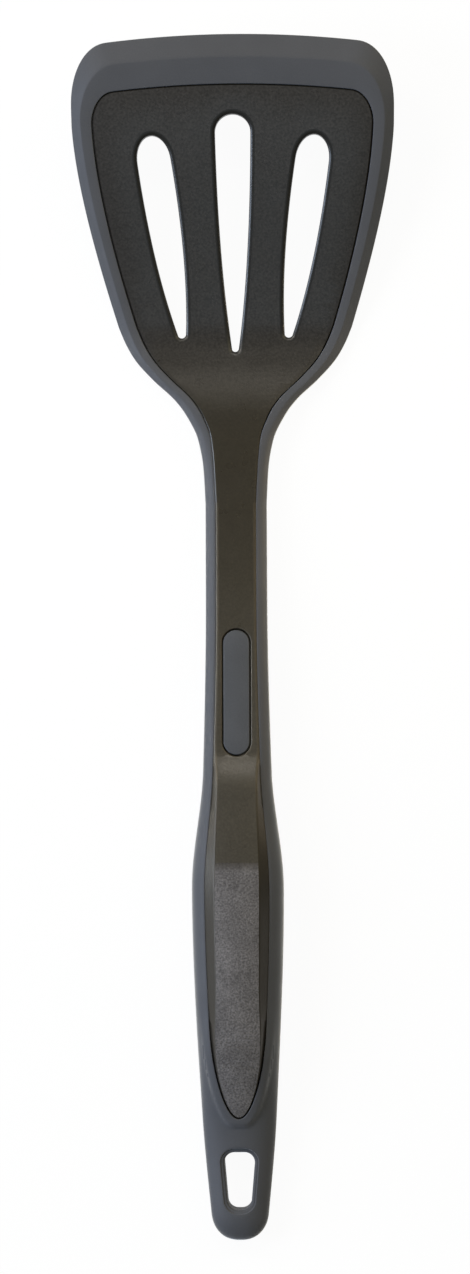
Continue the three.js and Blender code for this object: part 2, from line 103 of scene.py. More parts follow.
class JacketLook(IntEnum):
    """Material indices of the silicone jacket, in the order in which it takes its finish and its shaded copy
    without sheen.
    """

    SATIN = 0
    WALL = 1


def profile(knots: Sequence[tuple[float, float]]) -> Curve:
    """Smooth curve through knots that never overshoots them.

    Args:
        knots: Pairs of station and value, in rising order.

    Returns:
        The value as a function of an array of stations.
    """
    at = np.array([knot[0] for knot in knots], float)
    value = np.array([knot[1] for knot in knots], float)
    secant = np.diff(value) / np.diff(at)
    before, after = secant[:-1], secant[1:]
    rising = before * after > 0
    total = np.where(rising, before + after, 1.0)
    inner = np.where(rising, 2 * before * after / total, 0.0)
    tangent = np.concatenate([secant[:1], inner, secant[-1:]])

    def curve(station: np.ndarray) -> np.ndarray:
        """Value at each station.

        Args:
            station: Stations, held to the range of the knots.

        Returns:
            The values.
        """
        s = np.clip(station, at[0], at[-1])
        i = np.clip(np.searchsorted(at, s, side="right") - 1, 0, len(at) - 2)
        span = at[i + 1] - at[i]
        t = (s - at[i]) / span
        u = 1 - t
        ends = value[i] * u * u * (1 + 2 * t) + value[i + 1] * t * t * (1 + 2 * u)
        return ends + span * t * u * (tangent[i] * u - tangent[i + 1] * t)

    return curve


def smoothstep(t: np.ndarray) -> np.ndarray:
    """Eases from 0 to 1 as t goes from 0 to 1."""
    t = np.clip(t, 0, 1)
    return t * t * (3 - 2 * t)


def whole_loop(*runs: tuple[np.ndarray, np.ndarray]) -> np.ndarray:
    """Joins runs along the right half, from centre line to centre line, and adds their mirror image.

    Args:
        runs: Arrays of x and of station, run by run.

    Returns:
        Plan points of x and station, once round.
    """
    right = np.hstack([np.vstack(run) for run in runs]).T
    left = right[-2:0:-1] * np.array([-1.0, 1.0])
    return np.vstack([right, left])


def raised(plan: np.ndarray, height: np.ndarray | float) -> np.ndarray:
    """Plan points of x and station with their heights as a third column."""
    return np.column_stack([plan, np.broadcast_to(height, len(plan))])


def rounded_edge(outline: Callable[[float], np.ndarray], level: Callable[[np.ndarray], np.ndarray | float],
                 steps: Sequence[tuple[float, float]], grow: float, drop: float) -> list[np.ndarray]:
    """Loops over a rounded edge, from the face beside it to the wall below it.

    Args:
        outline: Plan points of the edge, grown by a length.
        level: Height of the face at plan points.
        steps: Shares of the growth and of the drop, loop by loop.
        grow: Full growth.
        drop: Full drop, negative where the wall rises from the face.

    Returns:
        The loops as rows of x, station and height.
    """
    loops = []
    for grown, dropped in steps:
        plan = outline(grown * grow)
        loops.append(raised(plan, level(plan) - dropped * drop))
    return loops


def deselect() -> None:
    """Leaves nothing selected, in object mode."""
    if bpy.context.object and bpy.context.object.mode != "OBJECT":
        bpy.ops.object.mode_set(mode="OBJECT")
    bpy.ops.object.select_all(action="DESELECT")


@dataclass(frozen=True)
class TurnerForm:
    """Outline and side view that every moulding of the turner follows."""

    grip_length: float = 133.0
    shaft_length: float = 76.0
    neck_length: float = 50.0
    blade_length: float = 81.0
    butt_width: float = 14.9
    tail_width: float = 21.1
    grip_width: float = 26.0
    shaft_root_width: float = 19.4
    shaft_width: float = 17.4
    shoulder_width: float = 66.2
    blade_width: float = 90.9
    butt_thickness: float = 8.4
    grip_thickness: float = 16.0
    shaft_thickness: float = 6.9
    blade_thickness: float = 3.2
    butt_lift: float = 1.6
    shaft_lift: float = 0.9
    blade_tilt: float = math.radians(13.35)
    heel_bend: float = 8.0
    heel_before_shoulder: float = 6.0
    butt_nose: float = 7.9
    butt_power: float = 0.85
    grip_flare: float = 33.0
    blade_flare_share: float = 0.753
    blade_flare_power: float = 1.53
    lip_radius: float = 310.0
    lip_corner_reach: float = 16.6
    lip_corner_inset: float = 10.3
    corner_power: float = 2.2
    grip_band: float = 3.9
    shaft_band: float = 3.0
    rim_band: float = 5.3
    rim_front_band: float = 6.2
    lip_band: float = 14.0
    panel_corner_reach: float = 9.0
    panel_corner_inset: float = 6.2
    spine_tip_at: float = 35.5
    spine_tip_length: float = 26.0
    spine_rise: float = 2.6
    spine_step: float = 1.8
    spine_crease_at: float = 107.6
    ramp_length: float = 10.0
    fit: float = 0.22
    back_wall: float = 2.6
    blade_ledge_height: float = 1.2
    tip_full_share: float = 0.988
    neck_margin: float = 4.0
    heel_margin: float = 12.0
    handle_step: float = 2.0
    fine_step: float = 1.0
    before_lip_corner: tuple[float, float] = (316.0, 318.0)
    arch_rounds: int = 4

    @property
    def shaft_start(self) -> float:
        """Station where the grip ends."""
        return self.grip_length

    @property
    def neck_start(self) -> float:
        """Station where the shaft starts to widen."""
        return self.shaft_start + self.shaft_length

    @property
    def shoulder(self) -> float:
        """Station where the neck meets the blade."""
        return self.neck_start + self.neck_length

    @property
    def lip(self) -> float:
        """Station of the front edge."""
        return self.shoulder + self.blade_length

    @property
    def bulge(self) -> float:
        """Station of the widest part of the grip."""
        return self.shaft_start - self.grip_flare

    @property
    def heel(self) -> float:
        """Station where the underside touches the table below the blade."""
        return self.shoulder - self.heel_before_shoulder

    @property
    def panel_front(self) -> float:
        """Station of the front seam of the nylon face."""
        return self.lip - self.lip_band

    @property
    def tip_full(self) -> float:
        """Station where the rounded tip of the nylon face reaches its width."""
        return self.spine_tip_at + self.spine_tip_length * self.tip_full_share

    @property
    def bend_start(self) -> float:
        """Station just before the neck, where the closer rows start."""
        return self.neck_start - self.neck_margin

    @property
    def bend_end(self) -> float:
        """Station past the bend at the heel, where the closer rows end."""
        return self.shoulder + self.heel_margin

    def levels(self, butt: float, grip: float, shaft: float, blade: float) -> Curve:
        """Curve that holds one level on each part of the turner and blends between.

        Args:
            butt: Value on the butt.
            grip: Value on the grip.
            shaft: Value on the shaft.
            blade: Value on the blade.

        Returns:
            The value as a function of station.
        """
        return profile([
            (0, butt), (self.spine_tip_at * 0.66, butt),
            (self.grip_length * 0.48, grip), (self.bulge, grip),
            (self.shaft_start + self.shaft_length * 0.42, shaft), (self.neck_start, shaft),
            (self.shoulder, blade), (self.lip, blade),
        ])

    @cached_property
    def handle_edge(self) -> Curve:
        """Half-width of the handle."""
        return profile([
            (0, self.butt_width / 2), (self.spine_tip_at, self.tail_width / 2),
            (self.bulge, self.grip_width / 2), (self.shaft_start, self.shaft_root_width / 2),
            (self.shaft_start + self.shaft_length * 0.63, self.shaft_width / 2),
            (self.neck_start, self.shaft_width / 2),
        ])

    @cached_property
    def neck_flare(self) -> Curve:
        """Share of the widening over the share of the neck."""
        return profile([
            (0, 0), (0.2, 0.023), (0.36, 0.081), (0.5, 0.218), (0.588, 0.353), (0.702, 0.602),
            (0.816, 0.81), (0.91, 0.922), (1, 1),
        ])

    def edge(self, s: np.ndarray) -> np.ndarray:
        """Half-width of the outline before its ends are rounded.

        Args:
            s: Stations.

        Returns:
            The half-widths.
        """
        s = np.asarray(s, float)
        widening = (self.shoulder_width - self.shaft_width) / 2
        share = (s - self.neck_start) / self.neck_length
        neck = self.shaft_width / 2 + widening * self.neck_flare(share)
        t = np.clip((s - self.shoulder) / (self.blade_length * self.blade_flare_share), 0, 1)
        spread = (self.blade_width - self.shoulder_width) / 2
        blade = self.shoulder_width / 2 + spread * (1 - (1 - t) ** self.blade_flare_power)
        return np.where(s <= self.neck_start, self.handle_edge(s), np.where(s <= self.shoulder, neck, blade))

    @cached_property
    def band(self) -> Curve:
        """Width of silicone left showing beside the nylon face."""
        return profile([
            (0, self.grip_band), (self.bulge, self.grip_band), (self.shaft_start, self.shaft_band),
            (self.neck_start + self.neck_length * 0.16, self.shaft_band),
            (self.neck_start + self.neck_length * 0.7, self.rim_band),
            (self.shoulder, self.rim_band), (self.lip, self.rim_front_band),
        ])

    def face(self, s: np.ndarray) -> np.ndarray:
        """Half-width of the nylon face before its ends are rounded."""
        return self.edge(s) - self.band(s)

    @cached_property
    def handle_lift(self) -> Curve:
        """Height of the underside of the handle above the table."""
        return profile([
            (0, self.butt_lift), (self.spine_tip_at * 1.4, 0), (self.bulge, 0),
            (self.shaft_start, self.shaft_lift * 0.36),
            (self.shaft_start + self.shaft_length * 0.5, self.shaft_lift * 0.89),
            (self.neck_start, self.shaft_lift),
            (self.neck_start + self.neck_length * 0.46, self.shaft_lift * 0.75), (self.heel, 0),
        ])

    def underside(self, s: np.ndarray) -> np.ndarray:
        """Height of the underside above the table.

        Args:
            s: Stations.

        Returns:
            The heights.
        """
        run = np.asarray(s, float) - self.heel
        bend = self.heel_bend
        bent = np.where(run < bend, run * run / (2 * bend), run - bend / 2)
        return np.where(run <= 0, self.handle_lift(s), bent * math.tan(self.blade_tilt))

    @cached_property
    def thickness(self) -> Curve:
        """Height of the silicone's upper face."""
        return profile([
            (0, self.butt_thickness * 0.93), (12, self.butt_thickness),
            (self.spine_tip_at * 0.775, self.butt_thickness * 1.14),
            (self.spine_tip_at + self.spine_tip_length, self.grip_thickness * 0.95),
            (self.bulge, self.grip_thickness), (self.shaft_start, self.shaft_thickness * 1.84),
            (self.shaft_start + self.shaft_length * 0.45, self.shaft_thickness * 1.4),
            (self.neck_start, self.shaft_thickness * 0.95),
            (self.neck_start + self.neck_length * 0.5, self.shaft_thickness * 0.855),
            (self.heel - self.heel_bend * 0.4, self.blade_thickness * 1.25),
            (self.heel + self.heel_bend * 1.4, self.blade_thickness * 1.03),
            (self.lip, self.blade_thickness),
        ])

    @cached_property
    def grip_rise(self) -> Curve:
        """Height of the spine above the silicone, up to the crease."""
        return profile([
            (self.spine_tip_at, self.spine_rise * 0.2),
            (self.spine_tip_at + self.spine_tip_length * 0.54, self.spine_rise * 0.6),
            (self.bulge - self.grip_flare * 0.36, self.spine_rise),
            (self.spine_crease_at, self.spine_step),
        ])

    @cached_property
    def ramp_rise(self) -> Curve:
        """Height of the spine above the silicone, from the crease on."""
        return profile([
            (self.spine_crease_at, self.spine_step),
            (self.shaft_start - self.ramp_length / 2, self.spine_step),
            (self.shaft_start + self.ramp_length / 2, 0),
        ])

    def spine(self, s: np.ndarray) -> np.ndarray:
        """Height of the nylon face above the silicone."""
        return np.where(s < self.spine_crease_at, self.grip_rise(s), self.ramp_rise(s))

    def face_height(self, s: np.ndarray) -> np.ndarray:
        """Height of the nylon face."""
        return self.thickness(s) + self.spine(s)

    def face_level(self, plan: np.ndarray) -> np.ndarray:
        """Height of the nylon face at plan points."""
        return self.face_height(plan[:, 1])

    @cached_property
    def floor(self) -> Curve:
        """Height of the bed under the nylon core."""
        return profile([
            (0, self.back_wall), (self.neck_start + self.neck_length * 0.5, self.back_wall),
            (self.heel, self.blade_ledge_height), (self.lip, self.blade_ledge_height),
        ])

    def bow(self, x: np.ndarray, s: np.ndarray) -> np.ndarray:
        """How far a point of the blade lies behind its station, so that the lip is arched."""
        share = smoothstep((s - self.shoulder) / (self.panel_front - self.shoulder))
        return share * x * x / (2 * self.lip_radius)

    def station(self, x: np.ndarray, y: np.ndarray) -> np.ndarray:
        """Station of a point of the arched blade.

        Args:
            x: Distance from the centre line.
            y: Distance from the butt.

        Returns:
            The station, settled in a few rounds.
        """
        s = np.array(y, float)
        for _ in range(self.arch_rounds):
            s = y + self.bow(x, s)
        return s

    def settle(self, points: np.ndarray) -> np.ndarray:
        """Bends straight points to the turner's side view.

        Args:
            points: Rows of x, station and height in millimetres.

        Returns:
            Rows of x, y and z in metres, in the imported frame.
        """
        x, s, height = points.T
        y = s - self.bow(x, s)
        return np.column_stack([x, y - self.lip / 2, self.underside(y) + height]) * MM

    @cached_property
    def side_stations(self) -> np.ndarray:
        """Stations along the sides, closer on the neck, with one on the crease.

        Returns:
            The stations from the spine's tip to the corner of the nylon face, in rising order.
        """
        neck_end = self.shoulder + self.neck_margin
        handle = np.arange(math.ceil(self.tip_full), self.bend_start, self.handle_step)
        neck = np.arange(self.bend_start, neck_end, self.fine_step)
        blade = np.arange(neck_end, self.panel_front - self.panel_corner_reach, self.handle_step)
        return np.unique(np.concatenate([handle, neck, blade, [self.spine_crease_at]]))

    def corner(self, count: int) -> tuple[np.ndarray, np.ndarray]:
        """Course of a rounded corner.

        Args:
            count: Number of points.

        Returns:
            Shares of the corner's reach and of its inset, point by point.
        """
        turn = np.linspace(0, QUARTER_TURN, count)
        bend = 2 / self.corner_power
        return np.sin(turn) ** bend, 1 - np.maximum(np.cos(turn), 0) ** bend

    @cached_property
    def seam(self) -> Curve:
        """Width of the open line between the nylon face and the silicone."""
        return profile([
            (self.spine_tip_at, self.fit * 1.3), (self.spine_tip_at + 10, self.fit * 0.8),
            (self.tip_full - 6, self.fit * 0.5),
            (self.tip_full + 12, self.fit * 0.2), (self.neck_start, self.fit * 0.2),
            (self.shoulder, self.fit), (self.lip, self.fit),
        ])

    def face_loop(self, grow: Curve, tip: float, front: float) -> np.ndarray:
        """Outline of the nylon face, grown evenly.

        Args:
            grow: Growth of the sides as a function of station.
            tip: Growth at the tip of the spine.
            front: Growth at the front seam.

        Returns:
            Plan points of x and station, once round from the tip.
        """
        turn = np.linspace(0, QUARTER_TURN, TIP_POINTS)[:-1]
        s_tip = self.tip_full - (self.spine_tip_length + tip) * np.cos(turn)
        x_tip = (self.face(s_tip) + grow(s_tip)) * np.sin(turn)
        s_side = self.side_stations
        x_side = self.face(s_side) + grow(s_side)
        along, across = self.corner(CORNER_POINTS)
        start = self.panel_front - self.panel_corner_reach
        s_corner = start + (self.panel_corner_reach + front) * along
        inset = self.panel_corner_inset + grow(np.array([start]))
        x_corner = self.face(s_corner) + grow(s_corner) - inset * across
        x_front = np.linspace(x_corner[-1], 0, FRONT_POINTS)[1:]
        s_front = np.full_like(x_front, s_corner[-1])
        return whole_loop((x_tip, s_tip), (x_side, s_side), (x_corner, s_corner), (x_front, s_front))

    def outer_loop(self, inset: Curve, butt: float, front: float, corner: float) -> np.ndarray:
        """Outline of the whole turner, drawn in.

        Args:
            inset: How far the sides come in, as a function of station.
            butt: How far the butt comes in.
            front: How far the lip comes in.
            corner: How far before its own start the lip's corner starts.

        Returns:
            Plan points of x and station, once round from the butt.
        """
        turn = np.linspace(0, QUARTER_TURN, ARC_POINTS)[:-1]
        s_butt = self.butt_nose - (self.butt_nose - butt) * np.cos(turn) ** self.butt_power
        x_butt = (self.edge(s_butt) - inset(s_butt)) * np.sin(turn) ** self.butt_power
        s_grip = np.arange(math.ceil(self.butt_nose), math.ceil(self.tip_full), self.fine_step)
        s_side = np.concatenate([s_grip, self.side_stations, self.before_lip_corner])
        x_side = self.edge(s_side) - inset(s_side)
        along, across = self.corner(LIP_CORNER_POINTS)
        s_start = self.lip - self.lip_corner_reach - corner
        s_corner = s_start + (self.lip - front - s_start) * along
        x_corner = self.edge(s_corner) - inset(s_corner) - self.lip_corner_inset * across
        x_front = np.linspace(x_corner[-1], 0, LIP_POINTS)[1:]
        s_front = np.full_like(x_front, s_corner[-1])
        return whole_loop((x_butt, s_butt), (x_side, s_side), (x_corner, s_corner), (x_front, s_front))


@dataclass
class Moulding:
    """A closed mesh raised loop by loop and filled face by face, in straight millimetres."""

    name: str
    form: TurnerForm
    parts: list[bpy.types.Object] = field(default_factory=list)

    @property
    def piece(self) -> bpy.types.Object:
        """The object that the parts are joined into."""
        return self.parts[0]

    def points(self) -> np.ndarray:
        """Reads where the mesh's points are.

        Returns:
            Rows of x, y and z.
        """
        mesh = self.piece.data
        places = np.empty(len(mesh.vertices) * 3)
        mesh.vertices.foreach_get("co", places)
        return places.reshape(-1, 3)

    def regions(self) -> np.ndarray:
        """Reads which face each polygon belongs to.

        Returns:
            One number per polygon.
        """
        mesh = self.piece.data
        values = np.zeros(len(mesh.polygons), np.int32)
        mesh.attributes["region"].data.foreach_get("value", values)
        return values

    @staticmethod
    def region(face: Face) -> int:
        """Number of a face in the mesh's own list."""
        return list(Face).index(face) + 1

    def sleeve(self, loops: Sequence[np.ndarray], first: Face | None = None, last: Face | None = None,
               own: Face | None = None) -> None:
        """Extrudes a loop through the places of the others.

        Args:
            loops: Rows of x, station and height, all of one count.
            first: The face that the first loop bounds.
            last: The face that the last loop bounds.
            own: The face that the sleeve itself makes.
        """
        count = len(loops[0])
        deselect()
        bpy.ops.mesh.primitive_circle_add(vertices=count, fill_type="NOTHING")
        part = bpy.context.object
        mesh = part.data
        mesh.vertices.foreach_set("co", loops[0].ravel())
        order = mesh.attributes.new("order", "INT", "POINT")
        order.data.foreach_set("value", np.arange(count, dtype=np.int32))
        bpy.ops.object.mode_set(mode="EDIT")
        bpy.ops.mesh.select_mode(type="VERT")
        bpy.ops.mesh.select_all(action="SELECT")
        for loop in loops[1:]:
            bpy.ops.mesh.extrude_region()
            shape = bmesh.from_edit_mesh(mesh)
            layer = shape.verts.layers.int["order"]
            for vertex in shape.verts:
                if vertex.select:
                    vertex.co = loop[vertex[layer]]
            bmesh.update_edit_mesh(mesh)
        bpy.ops.object.mode_set(mode="OBJECT")
        chosen = np.empty(len(mesh.vertices), bool)
        mesh.vertices.foreach_get("select", chosen)
        mesh.attributes.remove(mesh.attributes["order"])
        region = np.full(len(mesh.polygons), self.region(own) if own else 0, np.int32)
        mesh.attributes.new("region", "INT", "FACE").data.foreach_set("value", region)
        if first:
            part.vertex_groups.new(name=first.value).add(list(range(count)), 1.0, "REPLACE")
        if last:
            group = part.vertex_groups.get(last.value) or part.vertex_groups.new(name=last.value)
            group.add(np.flatnonzero(chosen).tolist(), 1.0, "REPLACE")
        self.parts.append(part)

    def join(self) -> None:
        """Joins the sleeves into one object."""
        deselect()
        for part in self.parts:
            part.select_set(True)
        bpy.context.view_layer.objects.active = self.piece
        if len(self.parts) > 1:
            bpy.ops.object.join()
        self.piece.name = self.name
        self.piece.data.name = self.name

    def fill(self, face: Face, height: Surface, cuts: Sequence[Cut] = ()) -> None:
        """Fills the face between its loops, cuts it into rows and lifts the new points.

        Args:
            face: The face to fill.
            height: Height of the face at x and station.
            cuts: Planes as a point, a normal and the last station that the cut reaches.
        """
        mesh = self.piece.data
        region = self.region(face)
        group = self.piece.vertex_groups[face.value].index
        old = len(mesh.vertices)
        bounds = [v.index for v in mesh.vertices if any(g.group == group for g in v.groups)]
        heights = {index: mesh.vertices[index].co.z for index in bounds}
        for index in bounds:
            mesh.vertices[index].co.z = 0
        faces = len(mesh.polygons)
        self.piece.vertex_groups.active_index = group
        bpy.ops.object.mode_set(mode="EDIT")
        bpy.ops.mesh.select_mode(type="VERT")
        bpy.ops.mesh.select_all(action="DESELECT")
        bpy.ops.object.vertex_group_select()
        bpy.ops.mesh.fill(use_beauty=True)
        bpy.ops.object.mode_set(mode="OBJECT")
        values = self.regions()
        values[faces:] = region
        mesh.attributes["region"].data.foreach_set("value", values)
        bpy.ops.object.mode_set(mode="EDIT")
        for point, normal, reach in cuts:
            bpy.ops.mesh.select_mode(type="FACE")
            bpy.ops.mesh.select_all(action="DESELECT")
            shape = bmesh.from_edit_mesh(mesh)
            layer = shape.faces.layers.int["region"]
            for polygon in shape.faces:
                if polygon[layer] == region and min(v.co.y for v in polygon.verts) < reach:
                    polygon.select_set(True)
            bmesh.update_edit_mesh(mesh)
            bpy.ops.mesh.bisect(plane_co=point, plane_no=normal, threshold=CUT_TOLERANCE)
        bpy.ops.object.mode_set(mode="OBJECT")
        points = self.points()
        points[old:, 2] = height(points[old:, 0], points[old:, 1])
        points[bounds, 2] = [heights[index] for index in bounds]
        mesh.vertices.foreach_set("co", points.ravel())
        mesh.update()

    def region_faces(self, face: Face) -> np.ndarray:
        """Indices of the polygons of a face."""
        return np.flatnonzero(self.regions() == self.region(face))

    def settle(self, smooth: float) -> bpy.types.Object:
        """Bends the mesh to the side view, welds it and turns its faces outwards.

        Args:
            smooth: Angle in radians under which edges are shaded smooth.

        Returns:
            The finished object.
        """
        mesh = self.piece.data
        mesh.vertices.foreach_set("co", self.form.settle(self.points()).ravel())
        mesh.attributes.remove(mesh.attributes["region"])
        self.piece.vertex_groups.clear()
        deselect()
        self.piece.select_set(True)
        bpy.context.view_layer.objects.active = self.piece
        bpy.ops.object.mode_set(mode="EDIT")
        bpy.ops.mesh.select_all(action="SELECT")
        bpy.ops.mesh.remove_doubles(threshold=WELD_DISTANCE)
        bpy.ops.mesh.normals_make_consistent(inside=False)
        bpy.ops.object.mode_set(mode="OBJECT")
        bpy.ops.object.shade_smooth_by_angle(angle=smooth)
        return self.piece


def rows(start: float, stop: float, step: float) -> list[Cut]:
    """Cuts right across the turner at even stations."""
    return [(Vector((0, s, 0)), Vector((0, 1, 0)), math.inf) for s in np.arange(start, stop, step)]


def columns(half_width: float, step: float, reach: float) -> list[Cut]:
    """Cuts along the turner, even to both sides, up to a station."""
    places = np.arange(step / 2 - half_width, half_width, step)
    return [(Vector((x, 0, 0)), Vector((1, 0, 0)), reach) for x in places]


@dataclass(frozen=True)
class WindowForm:
    """Opening in the silicone back that shows the underside of the nylon blade."""

    arch_end: float = 247.0
    arch_width: float = 21.6
    arch_nose: float = 20.0
    ledge: float = 0.5
    side_points: int = 71
    halvings: int = 50

    def loop(self, form: TurnerForm, grow: float) -> np.ndarray:
        """Outline of the opening, grown evenly.

        Args:
            form: The turner's outline.
            grow: Growth in millimetres.

        Returns:
            Plan points of x and station, once round from the end of the arch.
        """
        centre = self.arch_end - self.arch_nose
        half, nose = self.arch_width / 2 - grow, self.arch_nose - grow
        side = form.fit - self.ledge + grow
        low, high = form.neck_start, centre + nose
        for _ in range(self.halvings):
            middle = (low + high) / 2
            t = max(middle - centre, 0) / nose
            if half * math.sqrt(max(1 - t * t, 0)) > float(form.face(middle)) + side:
                low = middle
            else:
                high = middle
        turn = np.linspace(0, math.acos((low - centre) / nose), ARC_POINTS)[:-1]
        x_arch, s_arch = half * np.sin(turn), centre + nose * np.cos(turn)
        start = form.panel_front - form.panel_corner_reach
        s_side = low + (start - low) * np.linspace(0, 1, self.side_points)[:-1]
        x_side = form.face(s_side) + side
        along, across = form.corner(CORNER_POINTS)
        s_corner = start + (form.panel_corner_reach + side) * along
        x_corner = form.face(s_corner) + side - (form.panel_corner_inset + side) * across
        x_front = np.linspace(x_corner[-1], 0, FRONT_POINTS)[1:]
        s_front = np.full_like(x_front, s_corner[-1])
        return whole_loop((x_arch, s_arch), (x_side, s_side), (x_corner, s_corner), (x_front, s_front))


@dataclass(frozen=True)
class BladeSlot:
    """Tapered slot with a round top and a fine round tip."""

    length: float
    radius: float
    tip_radius: float
    belly: float
    from_lip: float
    offset: float = 0.0
    splay: float = 0.0
    belly_share: float = 0.57
    crown: float = 1.0
    tip_points: int = 11

    def loop(self, form: TurnerForm, grow: float) -> np.ndarray:
        """Outline of the slot, grown evenly.

        Args:
            form: The turner's outline.
            grow: Growth in millimetres.

        Returns:
            Plan points of x and station.
        """
        top = np.linspace(0, math.pi, ARC_POINTS)
        tip = np.linspace(math.pi, 2 * math.pi, self.tip_points)
        wide, fine, belly = self.radius + grow, self.tip_radius + grow, self.belly + grow
        t = np.linspace(0, 1, ARC_POINTS)[1:-1]
        x_side = (1 - t) ** 2 * wide + 2 * t * (1 - t) * belly + t * t * fine
        y_side = -self.length * (2 * t * (1 - t) * self.belly_share + t * t)
        x = np.concatenate([wide * np.cos(top), -x_side, fine * np.cos(tip), x_side[::-1]])
        y_top = (self.radius * self.crown + grow) * np.sin(top)
        y_tip = fine * np.sin(tip) - self.length
        y = np.concatenate([y_top, y_side, y_tip, y_side[::-1]])
        turned_x = x * math.cos(self.splay) + y * math.sin(self.splay) + self.offset
        turned_y = y * math.cos(self.splay) - x * math.sin(self.splay) + form.lip - self.from_lip
        return np.column_stack([turned_x, form.station(turned_x, turned_y)])


@dataclass(frozen=True)
class InlayForm:
    """Round-ended outline shared by the inlay and its pocket."""

    length: float = 36.0
    width: float = 8.2
    depth: float = 1.6
    from_grip: float = 4.4
    end_points: int = 33
    side_points: int = 19

    def loop(self, form: TurnerForm, grow: float) -> np.ndarray:
        """Outline of the inlay, grown evenly.

        Args:
            form: The turner's outline.
            grow: Growth in millimetres.

        Returns:
            Plan points of x and station.
        """
        radius = self.width / 2
        near = form.shaft_start + self.from_grip + radius
        far = near + self.length - self.width
        turn = np.linspace(0, math.pi, self.end_points)
        straight = np.linspace(far, near, self.side_points)[1:-1]
        flat = np.ones_like(straight)
        x = np.concatenate([np.cos(turn), -flat, -np.cos(turn), flat])
        s = np.concatenate([
            far + (radius + grow) * np.sin(turn), straight,
            near - (radius + grow) * np.sin(turn), straight[::-1],
        ])
        return np.column_stack([x * (radius + grow), s])


@dataclass
class NylonCore:
    """Stiff core: slotted blade, neck and shaft face, and the raised spine of the grip."""

    form: TurnerForm
    window: WindowForm
    inlay: InlayForm
    centre_slot: BladeSlot = BladeSlot(60.0, 5.0, 1.0, 4.55, 27.0)
    side_slots: tuple[BladeSlot, BladeSlot] = (
        BladeSlot(48.6, 4.72, 1.2, 5.14, 34.75, 22.3, math.radians(8.4), crown=1.5),
        BladeSlot(48.6, 4.72, 1.2, 5.14, 34.75, -22.3, math.radians(-8.4), crown=1.5),
    )
    flank_width: float = 2.6
    seam_round: float = 0.22
    shaft_round: float = 0.75
    slot_round: float = 0.6
    slot_rim: float = 1.3
    slot_steps: int = 7
    pocket_round: float = 0.3
    tip_soft: float = 0.4
    front_soft: float = 0.2
    spine_rows_short_of_shaft: float = 14.0
    pocket_rows_short_of_shaft: float = 12.0
    back_rows_into_neck: float = 20.0
    tip_step: float = 1.5
    bed_step: float = 1.5
    shaded_flank_foot: float = 0.26
    shaded_wall_facing: tuple[float, float] = (-0.3, 0.8)
    blade_shaded_wall_facing: float = 0.98
    smooth_angle: float = math.radians(36)

    @cached_property
    def flank(self) -> Curve:
        """Width of the slope beside the spine."""
        form = self.form
        return profile([
            (form.spine_tip_at, self.flank_width * 0.1),
            (form.spine_tip_at + form.spine_tip_length * 0.38, self.flank_width * 0.17),
            (form.bulge - form.grip_flare * 0.76, self.flank_width * 0.9), (form.bulge, self.flank_width),
            (form.shaft_start - form.ramp_length / 2, self.flank_width * 0.41),
            (form.shaft_start + form.ramp_length * 0.67, self.flank_width * 0.05),
        ])

    @cached_property
    def edge_round(self) -> Curve:
        """Width of the face's rounded edge, fullest along the shaft."""
        form = self.form
        return profile([
            (form.spine_tip_at, self.seam_round), (form.bulge, self.seam_round * 1.4),
            (form.shaft_start, self.shaft_round), (form.neck_start, self.shaft_round),
            (form.shoulder, self.seam_round), (form.lip, self.seam_round),
        ])

    def rim_loops(self) -> list[np.ndarray]:
        """Loops from the edge of the face down the flank and the side wall.

        Returns:
            Rows of x, station and height, loop by loop.
        """
        form, soft = self.form, self.seam_round
        # Shares of the flank's width, the edge's rounding, its drop and the spine's rise.
        steps = [
            (1.0, 0.9, 0.0, 0.0), (1.0, 0.25, 0.15, 0.02),
            (0.93, 0.1, 0.42, 0.08), (0.0, 0.0, 1.0, 1.0),
        ]
        loops = []
        for share, margin, drop, sunk in steps:
            plan = form.face_loop(
                lambda s, share=share, margin=margin: -self.flank(s) * share - self.edge_round(s) * margin,
                -soft * (self.tip_soft + margin), -soft * (margin + self.front_soft * share),
            )
            s = plan[:, 1]
            loops.append(raised(plan, form.face_height(s) - soft * drop - form.spine(s) * sunk))
        plan = form.face_loop(lambda s: 0.0 * s, 0.0, 0.0)
        loops.append(raised(plan, form.floor(plan[:, 1]) + form.fit))
        return loops

    def opening_loops(self, slot: BladeSlot) -> list[np.ndarray]:
        """Loops of a slot from the face through to the back, rounded at both.

        Args:
            slot: The slot.

        Returns:
            Rows of x, station and height, loop by loop.
        """
        turn = np.linspace(0, QUARTER_TURN, self.slot_steps)
        steps = list(zip(1 - np.sin(turn), 1 - np.cos(turn)))

        def outline(grow: float) -> np.ndarray:
            """Outline of the slot, grown."""
            return slot.loop(self.form, grow)

        upper = rounded_edge(outline, self.form.face_level, steps, self.slot_rim, self.slot_round)
        return upper + rounded_edge(outline, lambda plan: 0.0, steps[::-1], self.slot_rim, -self.slot_round)

    def pocket_loops(self) -> list[np.ndarray]:
        """Loops of the pocket for the inlay, from the face to its floor.

        Returns:
            Rows of x, station and height, loop by loop.
        """
        steps = [(1.0, 0.0), (0.5, 0.12), (0.15, 0.45), (0.0, 1.0)]
        form, soft = self.form, self.pocket_round
        loops = rounded_edge(lambda grow: self.inlay.loop(form, grow), form.face_level, steps, soft, soft)
        plan = self.inlay.loop(form, 0.0)
        return loops + [raised(plan, form.face_level(plan) - self.inlay.depth)]

    def back_loops(self) -> list[np.ndarray]:
        """Loops of the exposed back of the blade, from its face up to the bed.

        Returns:
            Rows of x, station and height, loop by loop.
        """
        form, soft = self.form, self.seam_round
        steps = [(1.0, 0.0), (0.3, 0.15), (0.05, 0.5), (0.0, 1.0)]
        loops = rounded_edge(
            lambda shrink: self.window.loop(form, -form.fit - shrink), lambda plan: 0.0, steps, soft, -soft,
        )
        plan = self.window.loop(form, -form.fit)
        return loops + [raised(plan, form.floor(plan[:, 1]) + form.fit)]

